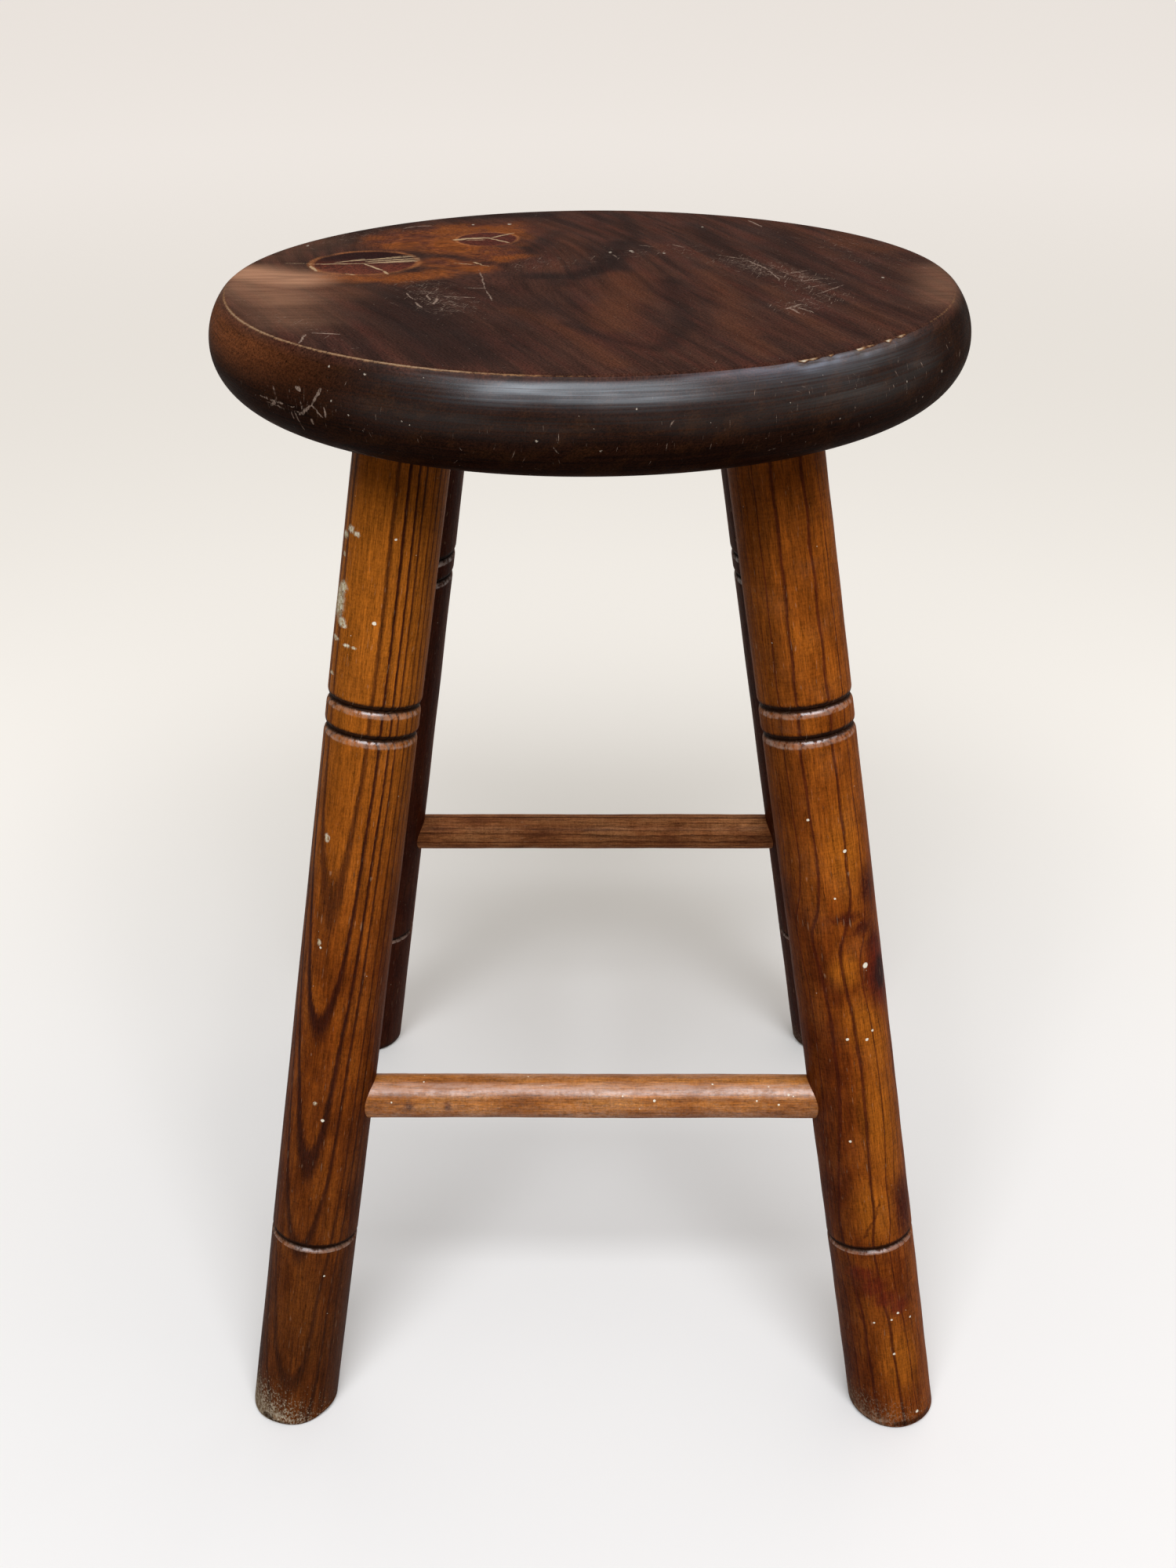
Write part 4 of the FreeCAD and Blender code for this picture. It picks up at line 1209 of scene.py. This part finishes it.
def stained_pine(name, palette, years=(), year_width=0.8, ring_width=2.4, ring_depth=0.6, wander=0.5,
                 paint=(), residue=(), knots=(), dark_marks=(), smudges=(), red_marks=(), light_marks=(),
                 painted_shades=(), foot_wear=0.0, foot_shade=0.0, painted_top_light=0.0, ripple=0.45, streak=0.5,
                 wear_and_highlight=0.0, gloss=0.045, satin=0.30):
    """Stained and varnished pine, from the growth rings outwards.

    palette holds the early wood, the late wood, a light patch and a dark patch. years are the ends of
    the years that show, from the outermost in: (distance from the pith, darkness). Paint spots, residue,
    knots and marks are lists of (centre, radii) or (start, end, width) in the grain's own millimetres.
    painted_shades are sides painted darker as shade, across the leg ("Y") or towards its front ("X"):
    it sets in at the first place, and has its full strength at the second.
    """
    wood, tree, shader = new_material(name)
    grain = attribute(tree, "grain", "Vector")
    dirt_and_shade = attribute(tree, "dirt_and_shade")
    lit = attribute(tree, "lit")
    early, late, light, dark = palette
    streaks = use(tree, fibres, {"Grain": grain, "Fibre depth": 1.15, "Grit depth": 1.2,
                                 "Ripple depth": ripple})

    ring = growth_rings(tree, grain, years, year_width, ring_width, ring_depth, wander)
    colour = blend(tree, rise(tree, streaks["Patch"], 0.40, 0.66), early, light)
    colour = stain(tree, colour, streaks["Patch"], (0.50, 0.32), 0.6, dark)
    colour = stain(tree, colour, streaks["Streak"], (0.42, 0.70), streak, dark)
    colour = stain(tree, colour, streaks["Mottle"], (0.48, 0.74), 0.40, dark)
    way = add(tree, "ShaderNodeSeparateXYZ", {0: grain}).node.outputs
    down = way["Z"]
    # Painted shade: sides of a leg that get less light, between the legs and under the seat, are darkened.
    for axis, start, end, strength in painted_shades:
        colour = stain(tree, colour, way[axis], (start, end), strength, tone(50, 18, 9))
    # Painted light: the upper part of a leg is lightened towards the top, as if it were lit more than the
    # rest.
    if painted_top_light:
        colour = blend(tree, rise(tree, down, 60, 240, painted_top_light, 0.0), colour, tone(184, 104, 28))
    soft = ragged(tree, grain, 5.0, 4.0)
    torn = ragged(tree, grain, 2.0, 2.4)
    if light_marks:
        clear = times(tree, spots(tree, soft, light_marks, 0.85), 0.65)
        colour = blend(tree, clear, colour, tone(176, 96, 24))
    colour = blend(tree, ring, colour, late)

    colour = sunk_marks(tree, colour, soft, streaks, late, smudges, red_marks, dark_marks, knots)
    if foot_shade:
        colour = stain(tree, colour, down, (230, 400), foot_shade, tone(50, 26, 12))
    colour = blend(tree, 1.0, colour, streaks["Shade"], "MULTIPLY")
    # Dirt in the grooves, and painted shade on the slopes that face down and just above the grooves.
    ragged_dirt_and_shade = math(tree, "ADD", dirt_and_shade, about_zero(tree, streaks["Mottle"], 0.5))
    colour = stain(tree, colour, ragged_dirt_and_shade, (0.22, 0.90), 0.94, tone(22, 12, 8))

    colour, pale = pale_marks(tree, colour, grain, torn, streaks, paint, residue)
    frayed = noise(tree, grain, (0.9, 0.9, 1.3), 4.0, 0.75)
    bare = math(tree, "ADD", attribute(tree, "wear"), about_zero(tree, frayed, 2.4))
    bare = times(tree, rise(tree, bare, 0.62, 0.92), foot_wear)
    colour = blend(tree, bare, colour, blend(tree, rise(tree, streaks["Mottle"], 0.4, 0.6),
                                             tone(182, 162, 136), tone(122, 96, 70)))
    # The slopes that face up are rubbed: more gloss, and pale streaks along the grain that are partly wax and
    # partly a painted highlight, strongest towards the front.
    rubbed = rise(tree, noise(tree, grain, (1.6, 1.6, 2.6), 3.0, 0.65), 0.32, 0.66, 0.15, 1.0)
    rubbed = times(tree, rubbed, rise(tree, way["X"], 4, 16, 0.35, 1.15))
    slope = times(tree, lit, rubbed)
    colour = blend(tree, times(tree, slope, 0.36), colour, tone(190, 140, 108))
    if wear_and_highlight:
        # Feet have rubbed the upper side of a rod pale, in long blotches, and the pale band is also a painted
        # highlight where the lamp is mirrored.
        upper = times(tree, rise(tree, way["X"], 4.4, 7.4), rise(tree, way["X"], 9.0, 8.2))
        blotch = rise(tree, noise(tree, grain, (1.5, 1.5, 9.0), 3.0, 0.65), 0.36, 0.62, 0.2, wear_and_highlight)
        colour = blend(tree, times(tree, upper, blotch), colour, tone(216, 170, 146))
    tree.links.new(colour, shader.inputs["Base Color"])

    rough = rise(tree, streaks["Streak"], 0.3, 0.7, 0.40, 0.50)
    pale = math(tree, "MAXIMUM", pale, bare)
    tree.links.new(math(tree, "MULTIPLY_ADD", pale, 0.35, rough), shader.inputs["Roughness"])
    shader.inputs["Specular IOR Level"].default_value = 0.01
    facing = add(tree, "ShaderNodeLayerWeight", {"Blend": 0.5}, "Facing")
    shine = times(tree, rise(tree, streaks["Mottle"], 0.35, 0.65, gloss, gloss * 0.4),
                  rise(tree, streaks["Patch"], 0.36, 0.58, 0.5, 1.0))
    shine = math(tree, "MAXIMUM", shine, rise(tree, slope, 0.05, 0.60))
    shine = times(tree, shine, rise(tree, pale, 0.0, 1.0, 1.0, 0.1))
    shine = times(tree, shine, rise(tree, facing, 0.45, 0.95, 1.0, 0.15))
    tree.links.new(shine, shader.inputs["Coat Weight"])
    shader.inputs["Coat Roughness"].default_value = satin
    shader.inputs["Coat IOR"].default_value = VARNISH_IOR
    relief = math(tree, "MULTIPLY_ADD", streaks["Fibre"], 1.2, times(tree, ring, 0.6))
    relief = math(tree, "MULTIPLY_ADD", streaks["Mottle"], 0.6, relief)
    tree.links.new(add(tree, "ShaderNodeBump", {"Height": relief, "Strength": 0.4, "Distance": 0.0003}),
                   shader.inputs["Normal"])
    return wood


# %% [markdown]
# ### Four finishes for four legs
# The marks of the front legs are listed, each at an angle from the leg's front, in degrees, and at a
# distance down from the seat, in millimetres. Painted shade darkens sides of the front legs, and painted
# light brightens their upper parts. The back legs are a darker copy of the amber, and darker still on
# their front sides: painted shade under the seat. They show few marks.

# %% Leg finishes
AMBER = (tone(124, 58, 12), tone(56, 21, 8), tone(146, 74, 18), tone(84, 36, 9))
AMBER_RED = (tone(116, 51, 10), tone(68, 23, 9), tone(146, 73, 18), tone(76, 30, 9))
# The back legs' darker copy of the amber is painted shade, for the shade under the seat.
SHADED_AMBER = (tone(104, 45, 13), tone(48, 17, 8), tone(126, 61, 18), tone(68, 27, 10))


def paint_spots(marks):
    """White paint spots on a leg: (degrees, millimetres down, size)."""
    return [(on_leg(degrees, down), (size * 0.7, size * 0.8, size * 0.7)) for degrees, down, size in marks]


def leg_spots(marks):
    """Spots on a leg: (degrees, millimetres down, and the radii towards its front, its right and down)."""
    return [(on_leg(degrees, down), radii) for degrees, down, *radii in marks]


def leg_strokes(marks):
    """Strokes on a leg: (start, end, width), start and end as (degrees, millimetres down)."""
    return [(on_leg(*start), on_leg(*end), wide) for start, end, wide in marks]


FRONT_LEFT_RESIDUE = (
    (-54, 40, 3.0, 3.0, 1.8), (-42, 41, 2.4, 2.4, 1.4), (-66, 43, 3.0, 3.0, 2.0),
    (-64, 50, 1.6, 1.6, 1.0), (-66, 68, 6.0, 6.0, 8.0), (-58, 62, 4.0, 4.0, 3.0),
    (-54, 75, 3.6, 3.6, 2.4), (-48, 76, 2.4, 2.4, 1.2), (-64, 82, 3.4, 3.4, 1.4),
    (-40, 83, 2.4, 2.4, 1.0), (-28, 83, 1.6, 1.6, 0.8), (-66, 96, 2.6, 2.6, 0.9),
    (-38, 160, 1.7, 1.7, 2.2), (-33, 204, 1.1, 1.1, 1.9), (-14, 275, 1.0, 1.0, 1.2),
)
FRONT_RIGHT_SMUDGES = (
    (14, 192, 13, 11, 4.5), (36, 198, 9, 9, 5.5), (54, 206, 8, 8, 9), (52, 182, 8, 8, 12),
    (54, 330, 10, 10, 22),
)
FRONT_RIGHT_LIGHT = (
    (28, 238, 15, 15, 20), (26, 165, 13, 13, 30), (34, 285, 15, 15, 50), (8, 325, 13, 13, 24),
    (8, 214, 10, 10, 12), (20, 402, 14, 14, 26), (40, 250, 12, 12, 30),
)
FRONT_RIGHT_RED = (
    (-20, 356, 11, 9, 5.5), (-6, 362, 11, 9, 8), (8, 369, 9, 8, 7), (24, 374, 8, 7, 6),
)
FRONT_RIGHT_LINES = (
    ((-12, 338), (4, 330), 1.6), ((4, 330), (14, 320), 1.2), ((38, 342), (42, 328), 1.4),
    ((42, 328), (52, 314), 1.6), ((-34, 350), (-36, 364), 1.6), ((-36, 364), (-26, 384), 1.2),
)
FRONT_RIGHT_PAINT = (
    (-17, 149, 0.9), (23.5, 164, 1.1), (4, 182.5, 0.7), (34, 214, 1.9), (-1.6, 244, 1.0), (33.5, 243, 0.9),
    (24, 246, 1.0), (-14, 291, 0.9), (22, 377.5, 0.9), (12, 380, 0.7), (41, 382.5, 0.8), (-12, 380.5, 0.7),
    (10, 397.5, 0.9), (34, 431, 1.2),
)
LEG_WOOD = {
    "leg_front_left": stained_pine(
        "amber pine, front left", AMBER, ring_width=2.3, wander=0.3, foot_wear=0.95, foot_shade=0.62,
        painted_top_light=0.50, painted_shades=(("Y", 9, 17, 0.55), ("Y", -12, -18, 0.50)),
        residue=leg_spots(FRONT_LEFT_RESIDUE),
        years=((61.33, 0.75), (59.42, 1.0), (57.32, 1.0), (55.39, 0.9), (52.12, 0.75), (49.57, 0.85),
               (46.65, 0.7)),
        paint=paint_spots(((-6, 72, 1.2), (8, 40, 0.7), (-1.6, 282, 1.1), (-30, 206, 0.8), (24, 358, 0.7)))),
    "leg_front_right": stained_pine(
        "amber pine, front right", AMBER_RED, ring_width=2.8, wander=0.25, foot_wear=0.35, ring_depth=0.06,
        painted_top_light=0.20, foot_shade=0.10, streak=0.3, painted_shades=(("Y", 3, -17, 0.50),),
        years=((67.45, 0.85), (64.83, 0.8), (62.30, 0.5), (60.00, 0.65)), year_width=0.38,
        ripple=0.65, knots=leg_spots([(62, 221, 7.0, 7.0, 10.0)]),
        smudges=leg_spots(FRONT_RIGHT_SMUDGES),
        light_marks=leg_spots(FRONT_RIGHT_LIGHT),
        red_marks=leg_spots(FRONT_RIGHT_RED),
        dark_marks=leg_strokes(FRONT_RIGHT_LINES),
        paint=paint_spots(FRONT_RIGHT_PAINT)),
    "leg_back_left": stained_pine("shaded pine, back left", SHADED_AMBER, ring_width=2.2, foot_wear=0.3, gloss=0.03,
                                  painted_shades=(("X", -6, 8, 0.85),)),
    "leg_back_right": stained_pine("shaded pine, back right", SHADED_AMBER, ring_width=2.7, foot_wear=0.3, gloss=0.03,
                                   painted_shades=(("X", -6, 8, 0.85),),
                                   knots=leg_spots([(150, 190, 5, 5, 6)])),
}
for name, piece in legs.items():
    piece.data.materials.append(LEG_WOOD[name])
    print(LEG_WOOD[name].name, len(LEG_WOOD[name].node_tree.nodes), "nodes")

# %% [markdown]
# ## The stretchers
# A stretcher is a plain round rod, glued into the legs at both ends. It was turned by hand, so it is a
# little uneven along its length.

# %% Stretcher surface
STRETCHER_RADIUS = 0.0090
STRETCHER_STEPS = 64


def make_stretcher(node, seed, board):
    """A round rod along the longest side of its node's box, closed at both ends."""
    low, high = (np.array(corner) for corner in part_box(node))
    middle = (low + high) / 2
    long_axis = int(np.argmax(high - low))
    along = np.eye(3)[long_axis]
    up = np.array((0.0, 0.0, 1.0))
    beside = np.cross(up, along)
    half = (high - low)[long_axis] / 2
    angle = np.linspace(0, 2 * np.pi, STRETCHER_STEPS, endpoint=False)[None, :]
    travel = np.linspace(-half, half, 110)[:, None]
    radius = STRETCHER_RADIUS + 0.00010 * bumps(angle, travel, seed)
    cap = np.linspace(0.1, 0.96, 6)[:, None] * STRETCHER_RADIUS * np.ones_like(angle)
    radius = np.concatenate((cap, radius, cap[::-1]))
    travel = np.concatenate((np.full((6, 1), -half), travel, np.full((6, 1), half)))
    outward = np.cos(angle)[..., None] * up + np.sin(angle)[..., None] * beside
    points = middle + travel[..., None] * along + radius[..., None] * outward
    place = points - middle
    grain = np.stack((place @ up, place @ beside, place @ along), -1) * 1000
    nothing = np.zeros(points.shape[:2])
    attributes = {"grain": grain, "rings": pith_distance(grain, **board), "dirt_and_shade": nothing, "wear": nothing,
                  "lit": nothing}
    return sew(f"rod_{node}", points, attributes, node)


# %% [markdown]
# ### Four finishes for four stretchers
# The front rod is speckled with white paint, and its upper side is rubbed pale: partly wear and partly
# a painted highlight. The back rod is browner, and the rods at the sides share the amber of the legs.

# %% Stretcher finishes


def on_rod(degrees, along):
    """The point of a rod's surface at an angle from its top towards the front and a distance along it."""
    turn = np.radians(-degrees)
    return (STRETCHER_RADIUS * 1000 * np.cos(turn), STRETCHER_RADIUS * 1000 * np.sin(turn), along)


# White paint spots on the front rod: degrees from the top towards the front, millimetres along, size.
FRONT_ROD_PAINT = (
    (-12, -69, 0.6), (14, -69, 0.6), (70, -82, 0.8), (-8, -26, 0.7), (20, 50, 0.8), (26, 73, 0.7),
    (64, 26, 1.1), (52, 13, 0.7), (64, 68, 0.7), (74, 77, 0.9), (24, -20, 0.5), (48, 81, 1.0),
    (52, 83, 0.6), (88, 20, 0.5),
)
ROD_AMBER = (tone(166, 97, 36), tone(98, 50, 19), tone(190, 118, 48), tone(128, 69, 26))
ROD_BROWN = (tone(156, 94, 52), tone(62, 30, 17), tone(178, 116, 70), tone(106, 58, 34))
RODS = {
    "stretcher_front": (
        dict(far=40, turn=((-110, 20), (110, 34)), sink=((-110, 0), (0, -0.8), (110, 0.4))),
        stained_pine("amber pine, front stretcher", ROD_AMBER, ring_width=2.6, ring_depth=0.25, gloss=1.0,
                     streak=0.4, wear_and_highlight=0.52, satin=0.38,
                     smudges=[(on_rod(80, -75), (4.0, 4.0, 3.5)), (on_rod(82, -59), (4.0, 4.0, 2.5))],
                     paint=[(on_rod(turn, along), (size * 0.6,) * 3)
                            for turn, along, size in FRONT_ROD_PAINT])),
    "stretcher_back": (
        dict(far=26, turn=((-110, 96), (110, 92)), sink=((-110, 0), (110, 0.5))),
        stained_pine("brown pine, back stretcher", ROD_BROWN, ring_width=1.7, ring_depth=0.8)),
    "stretcher_left": (
        dict(far=36, turn=((-110, 60), (110, 70)), sink=((-110, 0), (110, 1.6))),
        stained_pine("amber pine, left stretcher", AMBER, ring_width=2.2)),
    "stretcher_right": (
        dict(far=30, turn=((-110, -40), (110, -52)), sink=((-110, 0), (110, -1.2))),
        stained_pine("amber pine, right stretcher", AMBER, ring_width=2.5)),
}
for seed, (node, (board, wood)) in enumerate(RODS.items(), start=31):
    piece = make_stretcher(node, seed, board)
    piece.data.materials.append(wood)
